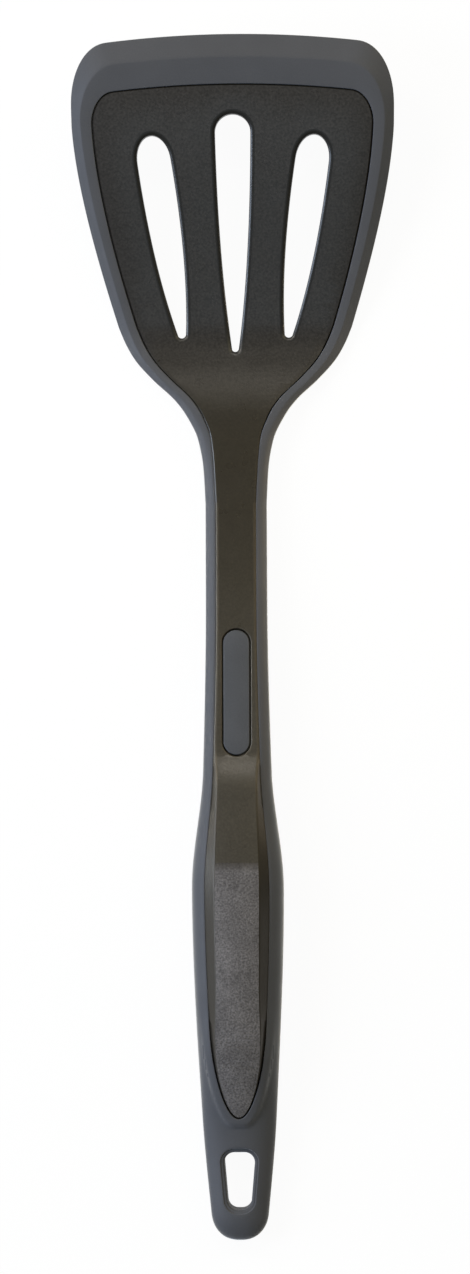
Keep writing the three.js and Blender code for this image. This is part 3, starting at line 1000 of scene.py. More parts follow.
    def build(self) -> Moulding:
        """Models the core.

        Returns:
            The moulding, still straight.
        """
        form = self.form
        core = Moulding("nylon_core_moulding", form)
        core.sleeve(self.rim_loops(), Face.TOP, Face.BED)
        for slot in (self.centre_slot, *self.side_slots):
            core.sleeve(self.opening_loops(slot), Face.TOP, Face.BACK, Face.SLOT)
        core.sleeve(self.pocket_loops(), Face.TOP, Face.POCKET)
        core.sleeve(self.back_loops(), Face.BACK, Face.BED)
        core.join()
        fine = form.fine_step
        spine_end = form.shaft_start - self.spine_rows_short_of_shaft
        cuts = rows(form.spine_tip_at + fine, form.tip_full, self.tip_step)
        cuts += rows(math.ceil(form.tip_full), spine_end, form.handle_step)
        cuts += rows(form.spine_crease_at, form.spine_crease_at + fine / 2, fine)
        cuts += rows(form.shaft_start - self.pocket_rows_short_of_shaft, form.neck_start, fine)
        cuts += rows(form.neck_start, form.bend_end, fine)
        core.fill(Face.TOP, lambda x, s: form.face_height(s), cuts)
        core.fill(Face.POCKET, lambda x, s: form.face_height(s) - self.inlay.depth)
        back_rows = rows(form.neck_start + self.back_rows_into_neck, form.bend_end, fine)
        core.fill(Face.BACK, lambda x, s: 0 * s, back_rows)
        bed_rows = rows(form.bend_start, form.bend_end, self.bed_step)
        core.fill(Face.BED, lambda x, s: form.floor(s) + form.fit, bed_rows)
        return core

    def finish(self, core: Moulding, looks: dict[CoreLook, bpy.types.Material]) -> bpy.types.Object:
        """Dresses the core and bends it.

        The blade, neck and shaft are satin, painted lighter from the neck to the ramp as a highlight, the
        face of the grip has a coarser grain, and the slopes beside both faces, the sides inside the seams and
        the slots are painted darker as shade, the slopes lighter again toward the ramp as a painted
        highlight.

        Args:
            core: The straight moulding.
            looks: The material of every finish.

        Returns:
            The finished piece.
        """
        form, mesh = self.form, core.piece.data
        mesh.materials.clear()
        for look in CoreLook:
            mesh.materials.append(looks[look])
        down, up = self.shaded_wall_facing
        for polygon in mesh.polygons:
            _, s, height = polygon.center
            # Painted shade, with a painted highlight toward the ramp, on the slopes beside the spine and the
            # shaft's edges.
            if s < form.neck_start and height > form.thickness(s) - self.shaded_flank_foot:
                polygon.material_index = CoreLook.FLANK
            # Painted shade on the upright sides, and on the blade on the rounded edges too.
            elif down < polygon.normal.z < (self.blade_shaded_wall_facing if s > form.heel else up):
                polygon.material_index = CoreLook.WALL
        for index in core.region_faces(Face.TOP):
            polygon = mesh.polygons[index]
            on_grip = polygon.center.y < form.spine_crease_at
            polygon.material_index = CoreLook.GRAIN if on_grip else CoreLook.SATIN
        # Painted shade on the slots' rounded edges and sides.
        for index in core.region_faces(Face.SLOT):
            mesh.polygons[index].material_index = CoreLook.RIM
        piece = core.settle(self.smooth_angle)
        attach(piece, "root")
        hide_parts("nylon_core")
        return piece


@dataclass
class SiliconeJacket:
    """Soft jacket: lip and rim of the blade, sides and back of the handle, butt with its hole."""

    form: TurnerForm
    window: WindowForm
    lip_bevel: float = 6.8
    lip_edge: float = 0.9
    lip_ridge: float = 0.35
    rim_ridge: float = 0.12
    rim_bevel: float = 2.7
    rim_bevel_drop: float = 1.5
    rim_foot: float = 0.5
    crease_corner: float = 5.0
    seam_round: float = 0.26
    shaft_round: float = 0.65
    collar_width: float = 2.2
    collar_rise: float = 0.9
    collar_slope: float = 1.0
    collar_length: float = 32.0
    hole_from_butt: float = 8.95
    hole_length: float = 16.3
    hole_width: float = 9.15
    hole_butt_width: float = 6.3
    hole_corner: float = 2.9
    hole_round: float = 1.0
    hole_step: float = 0.5
    hole_step_width: float = 0.4
    hole_steps: int = 8
    hole_corner_points: int = 10
    butt_shoulder: float = 3.4
    grip_shoulder: float = 2.7
    shaft_shoulder: float = 1.9
    butt_crest_inset: float = 4.0
    butt_foot_inset: float = 4.4
    edge_share: float = 0.94
    belly_steps: int = 9
    butt_dome_power: float = 2.0
    dome_power: float = 2.4
    corner_lead: float = 13.0
    corner_run: float = 12.0
    collar_fade: float = 18.0
    collar_lead: float = 8.0
    collar_trail: float = 4.0
    collar_half_width: float = 9.0
    collar_step: float = 0.6
    butt_rows_start: float = 5.0
    butt_step: float = 1.5
    bed_step: float = 1.5
    shaded_wall_facing: tuple[float, float] = (-0.3, 0.45)
    shaded_wall_inset: float = 1.5
    shaded_wall_start: float = 1.0
    shaded_wall_end: float = 2.0
    smooth_angle: float = math.radians(50)

    @cached_property
    def edge_round(self) -> Curve:
        """Width of the silicone's rounded edge at the seam, fullest along the shaft."""
        form = self.form
        return profile([
            (form.spine_tip_at, self.seam_round), (form.tip_full, self.seam_round * 2),
            (form.bulge, self.shaft_round), (form.neck_start, self.shaft_round),
            (form.shoulder, self.seam_round), (form.lip, self.seam_round),
        ])

    @cached_property
    def shoulder_width(self) -> Curve:
        """Width of the rounded upper edge."""
        form = self.form
        return profile([
            (0, self.butt_shoulder), (20, self.butt_shoulder), (46, self.grip_shoulder),
            (form.bulge, self.grip_shoulder), (form.shaft_start, self.shaft_shoulder),
            (form.neck_start, self.shaft_shoulder), (form.shoulder, self.rim_bevel),
            (form.lip, self.rim_bevel),
        ])

    @cached_property
    def shoulder_drop(self) -> Curve:
        """Height of the rounded upper edge."""
        form = self.form
        return form.levels(form.butt_thickness * 0.58, form.grip_thickness * 0.41,
                           form.shaft_thickness * 0.41, self.rim_bevel_drop)

    @cached_property
    def belly_width(self) -> Curve:
        """Width of the rounded lower edge."""
        form = self.form
        return form.levels(form.butt_width * 0.255, form.grip_width * 0.35,
                           form.shaft_width * 0.29, self.rim_foot)

    @cached_property
    def belly_rise(self) -> Curve:
        """Height of the rounded lower edge."""
        form = self.form
        return form.levels(form.butt_thickness * 0.45, form.grip_thickness * 0.51,
                           form.shaft_thickness * 0.48, self.rim_foot * 0.8)

    @cached_property
    def bevelled(self) -> Curve:
        """0 where the upper face is a dome, 1 where it is flat with a bevel."""
        return self.form.levels(0, 0, 0, 1)

    def rounding(self, s: np.ndarray) -> tuple[np.ndarray, np.ndarray]:
        """Heights of the rounded edges, fitted to the thickness.

        Args:
            s: Stations.

        Returns:
            Drop of the upper edge and rise of the lower one.
        """
        fall, rise = self.shoulder_drop(s), self.belly_rise(s)
        room = np.minimum(1, self.edge_share * self.form.thickness(s) / (fall + rise))
        return fall * room, rise * room

    @cached_property
    def roundness(self) -> Curve:
        """Power of the dome: 2 is an ellipse, more is flatter on top."""
        full, butt = self.form.tip_full, self.butt_dome_power
        return profile([(0, butt), (full * 0.6, butt), (full, self.dome_power)])

    def domed(self, reach: np.ndarray, s: np.ndarray) -> np.ndarray:
        """Height share of the dome, from 1 on the centre line to 0 at the edge."""
        power = self.roundness(s)
        return np.maximum(1 - np.clip(reach, 0, 1) ** power, 0) ** (1 / power)

    def dome(self, x: np.ndarray, s: np.ndarray) -> np.ndarray:
        """Height of the handle's upper face, which meets the nylon face at its own height.

        Args:
            x: Distance from the centre line.
            s: Station.

        Returns:
            Height above the underside.
        """
        form = self.form
        ahead = np.maximum(form.butt_nose - s, 0) / form.butt_nose
        power = 2 / form.butt_power
        reach = (np.abs(x / form.edge(s)) ** power + ahead ** power) ** (1 / power)
        tip = np.clip((form.tip_full - s) / form.spine_tip_length, 0, 1)
        seam = form.face(s) * np.sqrt(1 - tip * tip) / form.edge(s)
        fall, _ = self.rounding(s)
        return form.thickness(s) - fall + fall * self.domed(reach, s) / self.domed(seam, s)

    def collar(self, x: np.ndarray, s: np.ndarray) -> np.ndarray:
        """Height of the collar round the tip of the spine.

        Args:
            x: Distance from the centre line.
            s: Station.

        Returns:
            Height above the plain silicone.
        """
        form = self.form
        wide, long = form.face(s), form.spine_tip_length
        ahead = np.maximum(form.tip_full - s, 0) / long
        across = x / wide
        reach = np.hypot(across, ahead)
        slope = np.maximum(np.hypot(across / wide, ahead / long), LEAST_SLOPE)
        away = (reach - 1) * reach / slope - form.fit
        edge = 1 - smoothstep((away - self.collar_width + self.collar_slope / 2) / self.collar_slope)
        end = form.spine_tip_at + self.collar_length
        return self.collar_rise * edge * (1 - smoothstep((s - end + self.collar_fade) / self.collar_fade))

    def top(self, x: np.ndarray, s: np.ndarray) -> np.ndarray:
        """Height of the upper face."""
        flat = self.bevelled(s)
        return flat * self.form.thickness(s) + (1 - flat) * self.dome(x, s) + self.collar(x, s)

    def face_level(self, plan: np.ndarray) -> np.ndarray:
        """Height of the upper face at plan points."""
        return self.top(plan[:, 0], plan[:, 1])

    def front_share(self, plan: np.ndarray) -> np.ndarray:
        """0 on the sides of the blade, 1 along the lip, turning over round the corner."""
        return smoothstep((plan[:, 1] - self.form.lip + self.lip_bevel + self.corner_lead) / self.corner_run)

    def skin_loops(self) -> list[np.ndarray]:
        """Loops from the crest of the rim over the edge and down to the flat of the back.

        Returns:
            Rows of x, station and height, loop by loop.
        """
        form = self.form
        crest = form.outer_loop(
            self.shoulder_width, self.butt_crest_inset, self.lip_bevel, self.crease_corner,
        )
        edge = form.outer_loop(lambda s: 0.0 * s, 0.0, 0.0, 0.0)
        foot = form.outer_loop(self.belly_width, self.butt_foot_inset, self.rim_foot, 0.0)
        s = crest[:, 1]
        front = self.front_share(crest)
        full = form.thickness(s)
        fall, rise = self.rounding(s)
        lip_fall = form.blade_thickness - self.lip_edge
        fall = fall + (lip_fall - fall) * front
        flat = self.bevelled(s)
        ridge = flat * (self.rim_ridge + (self.lip_ridge - self.rim_ridge) * front)
        bevel_steps = np.array([
            (0, 0), (0.03, 0.006), (0.08, 0.04), (0.16, 0.12), (0.3, 0.27), (0.45, 0.43),
            (0.6, 0.585), (0.76, 0.75), (0.9, 0.9), (0.975, 0.985), (1, 1.06),
        ])
        turn = np.linspace(0, QUARTER_TURN, len(bevel_steps))
        round_steps = np.column_stack([np.sin(turn), 1 - np.cos(turn)])
        loops = []
        for (u_round, v_round), (u_bevel, v_bevel) in zip(round_steps, bevel_steps):
            u = u_round + (u_bevel - u_round) * flat
            v = v_round + (v_bevel - v_round) * flat
            plan = crest + (edge - crest) * u[:, None]
            bevel = full + ridge * (1 - v) - fall * v
            dome, collar = self.dome(*plan.T), self.collar(*plan.T)
            loops.append(raised(plan, flat * bevel + (1 - flat) * dome + collar))
        for angle in np.linspace(QUARTER_TURN, 0, self.belly_steps):
            plan = edge + (foot - edge) * (1 - math.sin(angle))
            loops.append(raised(plan, rise * (1 - math.cos(angle))))
        return loops

    def seam_loops(self) -> list[np.ndarray]:
        """Loops of the seam round the nylon face, from the upper face to the bed.

        Returns:
            Rows of x, station and height, loop by loop.
        """
        form = self.form
        tip, front = float(form.seam(form.spine_tip_at)), float(form.seam(form.lip))

        def outline(share: float) -> np.ndarray:
            """Outline of the seam, grown by a share of its edge's rounding."""
            soft = share * self.seam_round
            return form.face_loop(
                lambda s: form.seam(s) + share * self.edge_round(s), tip + soft, front + soft,
            )

        steps = [(1.0, 0.0), (0.4, 0.1), (0.1, 0.4), (0.0, 1.0)]
        loops = rounded_edge(outline, self.face_level, steps, 1.0, self.seam_round)
        plan = outline(0.0)
        return loops + [raised(plan, form.floor(plan[:, 1]))]

    def window_loops(self) -> list[np.ndarray]:
        """Loops of the opening in the back, from the back up to the bed.

        Returns:
            Rows of x, station and height, loop by loop.
        """
        form, soft = self.form, self.seam_round
        steps = [(1.0, 0.0), (0.4, 0.12), (0.1, 0.42), (0.0, 1.0)]
        loops = rounded_edge(lambda grow: self.window.loop(form, grow), lambda plan: 0.0, steps, soft, -soft)
        plan = self.window.loop(form, 0.0)
        return loops + [raised(plan, form.floor(plan[:, 1]))]

    def hole_plan(self, grow: float) -> np.ndarray:
        """Outline of the hanging hole, grown evenly.

        Args:
            grow: Growth in millimetres.

        Returns:
            Plan points of x and station.
        """
        near, far = self.hole_from_butt, self.hole_from_butt + self.hole_length
        half_near, half_far = self.hole_butt_width / 2, self.hole_width / 2
        corners = np.array([(half_near, near), (half_far, far), (-half_far, far), (-half_near, near)])
        points = []
        for i, corner in enumerate(corners):
            into = corner - corners[i - 1]
            out = corners[(i + 1) % 4] - corner
            first, second = math.atan2(-into[0], into[1]), math.atan2(-out[0], out[1])
            sweep = (second - first) % (2 * math.pi)
            ways = np.array([(math.cos(first), math.sin(first)), (math.cos(second), math.sin(second))])
            centre = corner - ways.sum(axis=0) * self.hole_corner / (1 + ways[0] @ ways[1])
            turn = first + sweep * np.linspace(0, 1, self.hole_corner_points)
            arc = np.column_stack([np.cos(turn), np.sin(turn)])
            points.append(centre + (self.hole_corner + grow) * arc)
        return np.vstack(points)

    def hole_loops(self) -> list[np.ndarray]:
        """Loops of the hanging hole from the upper face to the back, stepped above and rounded at both.

        Returns:
            Rows of x, station and height, loop by loop.
        """
        full = self.hole_round
        turn = np.linspace(0, QUARTER_TURN, self.hole_steps)
        steps = list(zip(1 - np.sin(turn), 1 - np.cos(turn)))
        step = rounded_edge(
            lambda grow: self.hole_plan(full + grow), self.face_level,
            [(1.0, 0.0), (0.55, 0.12), (0.3, 0.7)], self.hole_step_width, self.hole_step,
        )
        upper = rounded_edge(
            self.hole_plan, lambda plan: self.face_level(plan) - self.hole_step, steps, full, full,
        )
        return step + upper + rounded_edge(self.hole_plan, lambda plan: 0.0, steps[::-1], full, -full)

    def build(self) -> Moulding:
        """Models the jacket.

        Returns:
            The moulding, still straight.
        """
        form = self.form
        jacket = Moulding("silicone_jacket_moulding", form)
        jacket.sleeve(self.skin_loops(), Face.TOP, Face.BACK)
        jacket.sleeve(self.seam_loops(), Face.TOP, Face.BED)
        jacket.sleeve(self.hole_loops(), Face.TOP, Face.BACK)
        jacket.sleeve(self.window_loops(), Face.BACK, Face.BED)
        jacket.join()
        collar_start = form.spine_tip_at - self.collar_lead
        cuts = rows(self.butt_rows_start, collar_start, self.butt_step)
        cuts += rows(collar_start, form.tip_full + self.collar_trail, self.collar_step)
        cuts += columns(self.collar_half_width, self.collar_step, form.tip_full)
        jacket.fill(Face.TOP, self.top, cuts)
        back_rows = rows(self.butt_rows_start, form.spine_tip_at * 1.5, form.handle_step)
        back_rows += rows(form.bend_start, form.bend_end, form.fine_step)
        jacket.fill(Face.BACK, lambda x, s: 0 * s, back_rows)
        bed_rows = rows(form.bend_start, form.bend_end, self.bed_step)
        jacket.fill(Face.BED, lambda x, s: form.floor(s), bed_rows)
        return jacket

    def finish(self, jacket: Moulding, looks: dict[JacketLook, bpy.types.Material]) -> bpy.types.Object:
        """Dresses the jacket, with a shaded copy of the silicone, without its sheen, on the sides inside the
        seam and the hole, so that they stay dark as painted shade, and bends it.

        Args:
            jacket: The straight moulding.
            looks: The material of every finish.

        Returns:
            The finished piece.
        """
        form, mesh = self.form, jacket.piece.data
        mesh.materials.clear()
        for look in JacketLook:
            mesh.materials.append(looks[look])
        start, end = form.butt_nose + self.shaded_wall_start, form.panel_front + self.shaded_wall_end
        down, up = self.shaded_wall_facing
        # Shaded copy without sheen, as painted shade, on the upright sides inside the seam and the hole.
        for polygon in mesh.polygons:
            x, s, _ = polygon.center
            inside = start < s < end and abs(x) < form.edge(s) - self.shaded_wall_inset
            upright = down < polygon.normal.z < up
            polygon.material_index = JacketLook.WALL if inside and upright else JacketLook.SATIN
        piece = jacket.settle(self.smooth_angle)
        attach(piece, "root")
        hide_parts("silicone_jacket")
        return piece


@dataclass
class ShaftInlay:
    """Soft pad set flush in the face of the shaft."""

    form: TurnerForm
    inlay: InlayForm
    gap: float = 0.42
    edge_round: float = 0.3
    smooth_angle: float = math.radians(50)

    def build(self) -> Moulding:
        """Models the pad.

        Returns:
            The moulding, still straight.
        """
        form, soft = self.form, self.edge_round
        steps = [(1.0, 0.0), (0.5, 0.1), (0.15, 0.4), (0.0, 1.0)]
        loops = rounded_edge(
            lambda shrink: self.inlay.loop(form, -self.gap - shrink), form.face_level, steps, soft, soft,
        )
        plan = self.inlay.loop(form, -self.gap)
        depth = self.inlay.depth - form.fit
        loops.append(raised(plan, form.face_level(plan) - depth))
        pad = Moulding("shaft_inlay_pad", form)
        pad.sleeve(loops, Face.TOP, Face.BED)
        pad.join()
        pad.fill(Face.TOP, lambda x, s: form.face_height(s))
        pad.fill(Face.BED, lambda x, s: form.face_height(s) - depth)
        return pad

    def finish(self, pad: Moulding, silicone: bpy.types.Material) -> bpy.types.Object:
        """Dresses and bends the pad.

        Args:
            pad: The straight moulding.
            silicone: Its finish.

        Returns:
            The finished piece.
        """
        pad.piece.data.materials.clear()
        pad.piece.data.materials.append(silicone)
        piece = pad.settle(self.smooth_angle)
        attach(piece, "root")
        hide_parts("shaft_inlay")
        return piece


@dataclass(frozen=True)
class NodeBoard:
    """A node tree whose nodes are set and wired in one go."""

    tree: bpy.types.NodeTree

    def wire(self, node: bpy.types.Node, inputs: dict[str | int, object]) -> None:
        """Sets a node's inputs.

        Args:
            node: The node.
            inputs: A socket to link from, or else a constant, for each input.
        """
        for key, value in inputs.items():
            if isinstance(value, bpy.types.NodeSocket):
                self.tree.links.new(value, node.inputs[key])
            else:
                node.inputs[key].default_value = value

    def add(self, kind: str, output: str, inputs: dict[str | int, object] | None = None,
            operation: str | None = None) -> bpy.types.NodeSocket:
        """Adds a node.

        Args:
            kind: Type of the node.
            output: Name of the output that is handed on.
            inputs: A socket to link from, or else a constant, for each input.
            operation: What a node for sums works out.

        Returns:
            The output.
        """
        node = self.tree.nodes.new(kind)
        if operation:
            node.operation = operation
        self.wire(node, inputs or {})
        return node.outputs[output]


@dataclass(frozen=True)
class Tone:
    """Colour of a finish at one station, eased to the next, and how strongly its grain shows in it."""

    station: float
    colour: Colour
    speck: float = 0.0


@dataclass(frozen=True)
class MouldedFinish:
    """Moulded plastic or rubber: tones along the turner, on the nylon partly painted highlight and painted
    shade, cloudiness, uneven gloss and a fine grain.

    Scales are repeats per metre, and the grain's depth is in millimetres.
    """

    name: str
    tones: tuple[Tone, ...]
    roughness: tuple[float, float]
    cloud: float = 0.04
    cloud_scale: float = 60.0
    gloss_scale: float = 150.0
    grain_scale: float = 1500.0
    grain_depth: float = 0.02
    grain_detail: float = 2.0
    ior: float = 1.5
    specular: float = 0.5
    specular_tint: Colour = (1.0, 1.0, 1.0)
    sheen: float = 0.0
    sheen_roughness: float = 0.3
    cloud_detail: float = 4.0
    gloss_detail: float = 3.0
    noise_range: tuple[float, float] = (0.3, 0.7)
    length: float = TurnerForm().lip

    def material(self) -> bpy.types.Material:
        """Makes the material.

        Returns:
            A node material on Object coordinates.
        """
        material = bpy.data.materials.new(self.name)
        material.use_nodes = True
        board = NodeBoard(material.node_tree)
        place = board.add("ShaderNodeTexCoord", "Object")

        def noise(scale: float, detail: float) -> bpy.types.NodeSocket:
            """Noise on the piece's own coordinates."""
            return board.add("ShaderNodeTexNoise", "Fac", {"Vector": place, "Scale": scale, "Detail": detail})

        def spread(value: bpy.types.NodeSocket, low: float, high: float) -> bpy.types.NodeSocket:
            """Noise spread between two values."""
            limits = dict(zip(("From Min", "From Max", "To Min", "To Max"), (*self.noise_range, low, high)))
            return board.add("ShaderNodeMapRange", "Result", {"Value": value, **limits})

        def scaled(colour: bpy.types.NodeSocket, factor: bpy.types.NodeSocket) -> bpy.types.NodeSocket:
            """Colour made lighter or darker."""
            return board.add("ShaderNodeVectorMath", "Vector", {"Vector": colour, "Scale": factor}, "SCALE")

        half = self.length / 2 * MM
        station = board.add("ShaderNodeSeparateXYZ", "Y", {"Vector": place})
        ends = {"Value": station, "From Min": -half, "From Max": half}
        along = board.add("ShaderNodeMapRange", "Result", ends)
        ramp = board.tree.nodes.new("ShaderNodeValToRGB")
        board.wire(ramp, {"Fac": along})
        ramp.color_ramp.interpolation = "EASE"
        stops = ramp.color_ramp.elements
        stops.remove(stops[1])
        for i, tone in enumerate(self.tones):
            stop = stops[0] if i == 0 else stops.new(tone.station / self.length)
            stop.position = tone.station / self.length
            stop.color = (*tone.colour, tone.speck)
        cloud = noise(self.cloud_scale, self.cloud_detail)
        clouded = scaled(ramp.outputs["Color"], spread(cloud, 1 - self.cloud, 1 + self.cloud))
        grain = noise(self.grain_scale, self.grain_detail)
        flecks = {0: spread(grain, -1.0, 1.0), 1: ramp.outputs["Alpha"], 2: 1.0}
        speck = board.add("ShaderNodeMath", "Value", flecks, "MULTIPLY_ADD")
        gloss = noise(self.gloss_scale, self.gloss_detail)
        bump = board.add("ShaderNodeBump", "Normal", {"Height": grain, "Distance": self.grain_depth * MM})
        board.wire(board.tree.nodes["Principled BSDF"], {
            "Base Color": scaled(clouded, speck),
            "Roughness": spread(gloss, *self.roughness),
            "Normal": bump,
            "IOR": self.ior,
            "Specular IOR Level": self.specular,
            "Specular Tint": (*self.specular_tint, 1),
            "Sheen Weight": self.sheen,
            "Sheen Roughness": self.sheen_roughness,
        })
        return material


# Painted highlight: the nylon is painted about twice as light from the neck to the ramp as on the blade, over
# its own warm dark grey.
NYLON_SATIN_PAINTED_HIGHLIGHT = MouldedFinish(
    name="nylon_satin",
    tones=(
        Tone(100, (0.048, 0.042, 0.0325), 0.15), Tone(135, (0.048, 0.042, 0.0325), 0.15),
        Tone(160, (0.0435, 0.038, 0.029), 0.15), Tone(200, (0.0285, 0.0242, 0.0172), 0.12),
        Tone(225, (0.026, 0.0219, 0.0152), 0.12), Tone(259, (0.0248, 0.0228, 0.0214), 0.3),
        Tone(285, (0.0236, 0.0217, 0.0204), 0.3), Tone(320, (0.029, 0.0269, 0.0256), 0.3),
    ),
    roughness=(0.27, 0.31), cloud=0.03, specular=0.32,
)
# Painted shade and highlight: the slopes beside the grip's spine are painted near black as shade, and lighter
# again toward the ramp as the same painted highlight as the shaft.
NYLON_FLANK_PAINTED_SHADE_AND_HIGHLIGHT = MouldedFinish(
    name="nylon_flank",
    tones=(
        Tone(46, (0.026, 0.024, 0.021), 0.15), Tone(66, (0.0095, 0.008, 0.0055), 0.15),
        Tone(105, (0.0095, 0.008, 0.0055), 0.15), Tone(140, (0.04, 0.035, 0.027), 0.15),
        Tone(200, (0.025, 0.021, 0.015), 0.12),
    ),
    roughness=(0.41, 0.47), grain_depth=0.05, specular_tint=(1.0, 0.9, 0.76),
)
NYLON_GRAIN = MouldedFinish(
    name="nylon_grip_grain",
    tones=(Tone(104.6, (0.1105, 0.104, 0.105), 0.42), Tone(107.6, (0.055, 0.0495, 0.044), 0.2)),
    roughness=(0.5, 0.62), cloud=0.2, cloud_scale=150.0, gloss_scale=220.0,
    grain_scale=1900.0, grain_depth=0.16, grain_detail=4.0, specular=0.07,
)
# Painted shade: the upright sides inside the seams and the pocket are painted near black, and so are the
# rounded edges on the blade.
NYLON_WALL_PAINTED_SHADE = MouldedFinish(
    name="nylon_wall", tones=(Tone(0, (0.009, 0.0078, 0.006)),),
    roughness=(0.5, 0.6), specular=0.08,
)
# Painted shade: the slots' rounded edges and sides are painted darker than the blade.
NYLON_RIM_PAINTED_SHADE = MouldedFinish(
    name="nylon_rim", tones=(Tone(0, (0.0115, 0.0108, 0.01), 0.1),),
    roughness=(0.3, 0.36), specular=0.4,
)
SILICONE_SATIN = MouldedFinish(
    name="silicone_satin", tones=(Tone(0, (0.0665, 0.0685, 0.077), 0.04),),
    roughness=(0.46, 0.56), cloud=0.06, cloud_scale=45.0, gloss_scale=120.0,
    grain_scale=3200.0, grain_depth=0.012, ior=1.41, specular=0.16, sheen=1.0, sheen_roughness=0.35,
)
# Shaded copy of the silicone: without its sheen, the sides inside the seam and the hole stay dark as painted
# shade.
SILICONE_WALL_SHADED_COPY = replace(SILICONE_SATIN, name="silicone_wall", sheen=0.0)
INLAY_SATIN = MouldedFinish(
    name="inlay_satin", tones=(Tone(0, (0.064, 0.067, 0.0745), 0.05),),
    roughness=(0.5, 0.6), cloud=0.06, cloud_scale=90.0, gloss_scale=160.0,
    grain_scale=2400.0, ior=1.41, specular=0.16,
)

CORE_FINISHES = {
    CoreLook.SATIN: NYLON_SATIN_PAINTED_HIGHLIGHT, CoreLook.GRAIN: NYLON_GRAIN, CoreLook.FLANK: NYLON_FLANK_PAINTED_SHADE_AND_HIGHLIGHT,
    CoreLook.WALL: NYLON_WALL_PAINTED_SHADE, CoreLook.RIM: NYLON_RIM_PAINTED_SHADE,
}
JACKET_FINISHES = {JacketLook.SATIN: SILICONE_SATIN, JacketLook.WALL: SILICONE_WALL_SHADED_COPY}


@dataclass(frozen=True)
class PhotoCamera:
    """Camera looking down on the turner from a little to the right.

    Lengths are millimetres, but for the start of what it sees, which is in metres.
    """

    height: float = 1250.0
    level: float = 12.0
    frame_height: float = 359.4
    across: float = -0.28
    along: float = 1.02
    roll: float = math.radians(-0.34)
    tilt: float = math.radians(2.0)
    sensor: float = 36.0
    clip_start: float = 0.01

    def place(self) -> bpy.types.Object:
        """Adds the camera and makes it the scene's own.

        Returns:
            The camera's object.
        """
        camera = bpy.data.cameras.new("photo_camera")
        camera.sensor_fit = "VERTICAL"
        camera.sensor_height = self.sensor
        camera.sensor_width = self.sensor * PHOTO_WIDTH / PHOTO_HEIGHT
        distance = self.height - self.level
        camera.lens = self.sensor * distance / self.frame_height
        camera.clip_start = self.clip_start
        holder = bpy.data.objects.new("photo_camera", camera)
        lean = Matrix.Rotation(self.tilt, 3, "Y")
        target = Vector((self.across, self.along, self.level))
        holder.location = (target + lean @ Vector((0, 0, distance))) * MM
        holder.rotation_euler = (lean @ Matrix.Rotation(self.roll, 3, "Z")).to_euler()
        bpy.context.scene.collection.objects.link(holder)
        bpy.context.scene.camera = holder
        return holder


@dataclass(frozen=True)
class Softbox:
    """Area lamp aimed at the turner, in metres and watts."""

    name: str
    place: tuple[float, float, float]
    size: tuple[float, float]
    power: float
    colour: Colour
    aim: tuple[float, float, float] = (0.0, 0.0, 0.0)
    spread: float = math.pi

    def hang(self) -> bpy.types.Object:
        """Adds the lamp.

        Returns:
            The lamp's object.
        """
        lamp = bpy.data.lights.new(self.name, "AREA")
        lamp.shape = "RECTANGLE"
        lamp.size, lamp.size_y = self.size
        lamp.energy = self.power
        lamp.color = self.colour
        lamp.spread = self.spread
        holder = bpy.data.objects.new(self.name, lamp)
        holder.location = self.place
        way = Vector(self.aim) - holder.location
        holder.rotation_euler = way.to_track_quat("-Z", "Y").to_euler()
        bpy.context.scene.collection.objects.link(holder)
        return holder


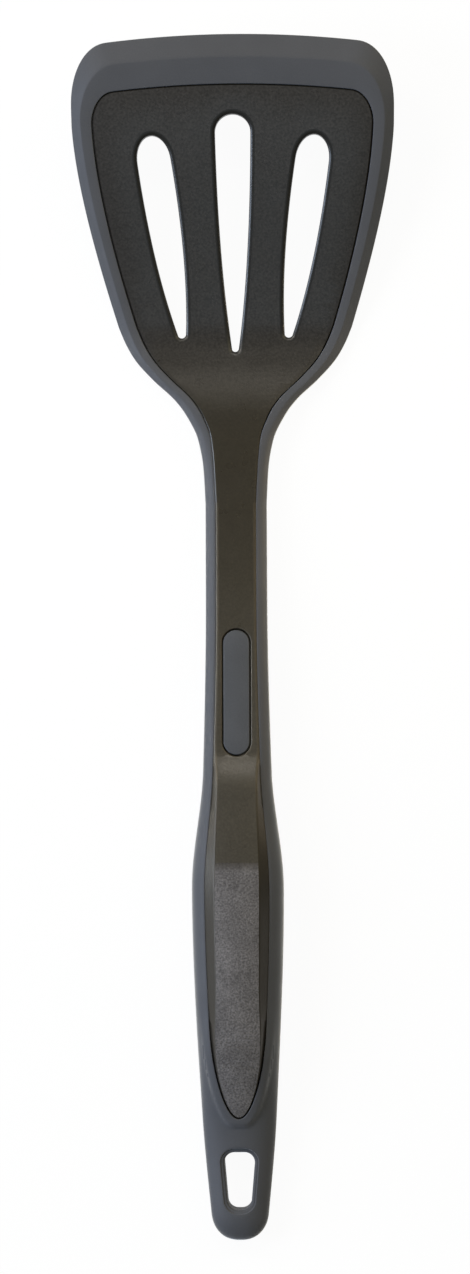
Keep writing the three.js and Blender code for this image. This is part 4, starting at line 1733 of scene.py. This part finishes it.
@dataclass
class Studio:
    """White table, soft lamps and an even sky, in metres."""

    floor_size: float = 8.0
    floor_drop: float = 0.0003
    floor_colour: Colour = (0.9, 0.9, 0.9)
    floor_glow: float = 0.95
    sky_colour: Colour = (0.97, 1.0, 0.85)
    sky_strength: float = 0.13
    lamps: tuple[Softbox, ...] = (
        Softbox("key_softbox", (-0.76, 0.76, 0.97), (0.6, 0.6), 9.4, (1.0, 0.94, 0.84)),
        Softbox("left_softbox", (-1.24, -0.05, 0.74), (0.6, 0.8), 20.0, (0.68, 0.8, 1.0)),
        Softbox("right_softbox", (0.9, 0.75, 0.8), (0.5, 0.5), 4.6, (1.0, 0.86, 0.54)),
        Softbox("high_softbox", (0.48, 0.48, 1.28), (0.5, 0.5), 1.8, (1.0, 0.88, 0.6)),
        Softbox("back_softbox", (0.0, 0.92, 1.12), (0.3, 0.3), 3.4, (1.0, 0.94, 0.84)),
        Softbox("front_softbox", (0.0, -0.45, 1.38), (0.5, 0.5), 0.8, (0.7, 0.86, 1.0)),
        Softbox("right_kicker", (0.32, 0.035, 0.05), (0.06, 0.05), 0.019, (1.0, 0.84, 0.6),
                (0.0, 0.035, 0.005), math.radians(32)),
        Softbox("left_kicker", (-0.32, 0.03, 0.05), (0.06, 0.05), 0.017, (1.0, 0.98, 0.9),
                (0.0, 0.03, 0.005), math.radians(40)),
    )

    def seen_directly(self, board: NodeBoard) -> bpy.types.NodeSocket:
        """Tells rays that see the floor directly from those that it lights.

        Args:
            board: The node tree to add to.

        Returns:
            1 for rays from the camera, from gloss and through glass, else 0.
        """
        path = board.tree.nodes.new("ShaderNodeLightPath").outputs
        total = path["Is Camera Ray"]
        for name in ("Is Glossy Ray", "Is Transmission Ray"):
            total = board.add("ShaderNodeMath", "Value", {0: total, 1: path[name]}, "MAXIMUM")
        return total

    def lay_floor(self) -> bpy.types.Object:
        """Adds the white table, which keeps a soft shadow.

        Returns:
            The table's object.
        """
        deselect()
        bpy.ops.mesh.primitive_plane_add(size=self.floor_size, location=(0, 0, -self.floor_drop))
        table = bpy.context.object
        table.name = "studio_floor"
        material = bpy.data.materials.new("studio_white")
        material.use_nodes = True
        board = NodeBoard(material.node_tree)
        board.tree.nodes.clear()
        matt = board.add("ShaderNodeBsdfDiffuse", "BSDF", {"Color": (*self.floor_colour, 1)})
        glow = board.add("ShaderNodeEmission", "Emission")
        seen = {0: self.seen_directly(board), 1: self.floor_glow}
        share = board.add("ShaderNodeMath", "Value", seen, "MULTIPLY")
        mix = board.add("ShaderNodeMixShader", "Shader", {"Fac": share, 1: matt, 2: glow})
        board.wire(board.tree.nodes.new("ShaderNodeOutputMaterial"), {"Surface": mix})
        table.data.materials.append(material)
        return table

    def light_sky(self) -> None:
        """Sets an even sky that shows white behind the table."""
        world = bpy.data.worlds.new("studio_sky")
        bpy.context.scene.world = world
        world.use_nodes = True
        board = NodeBoard(world.node_tree)
        sky = board.tree.nodes["Background"]
        board.wire(sky, {"Color": (*self.sky_colour, 1), "Strength": self.sky_strength})
        white = board.add("ShaderNodeBackground", "Background", {"Color": (1, 1, 1, 1)})
        seen = board.add("ShaderNodeLightPath", "Is Camera Ray")
        shades = {"Fac": seen, 1: sky.outputs["Background"], 2: white}
        mix = board.add("ShaderNodeMixShader", "Shader", shades)
        board.wire(board.tree.nodes["World Output"], {"Surface": mix})

    def set_up(self) -> None:
        """Lays the floor, lights the sky and hangs the lamps."""
        self.lay_floor()
        self.light_sky()
        for lamp in self.lamps:
            lamp.hang()
        bpy.context.scene.view_settings.view_transform = "Standard"


def report(piece: bpy.types.Object) -> None:
    """Logs a piece's size and whether its mesh is closed.

    Args:
        piece: The finished piece.
    """
    shape = bmesh.new()
    shape.from_mesh(piece.data)
    loose = sum(1 for edge in shape.edges if not edge.is_manifold)
    triangles = sum(len(polygon.verts) - 2 for polygon in shape.faces)
    volume = shape.calc_volume() / MM ** 3
    log.info("%s: %d triangles, %d open edges, %.0f mm3", piece.name, triangles, loose, volume)
    shape.free()


def main() -> None:
    """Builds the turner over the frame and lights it."""
    logging.basicConfig(level=logging.INFO, format="%(name)s: %(message)s")
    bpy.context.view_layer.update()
    form, window, inlay = TurnerForm(), WindowForm(), InlayForm()
    core = NylonCore(form, window, inlay)
    jacket = SiliconeJacket(form, window)
    pad = ShaftInlay(form, inlay)
    nylon = {look: finish.material() for look, finish in CORE_FINISHES.items()}
    report(core.finish(core.build(), nylon))
    silicone = {look: finish.material() for look, finish in JACKET_FINISHES.items()}
    report(jacket.finish(jacket.build(), silicone))
    report(pad.finish(pad.build(), INLAY_SATIN.material()))
    Studio().set_up()
    PhotoCamera().place()


if __name__ == "__main__":
    main()
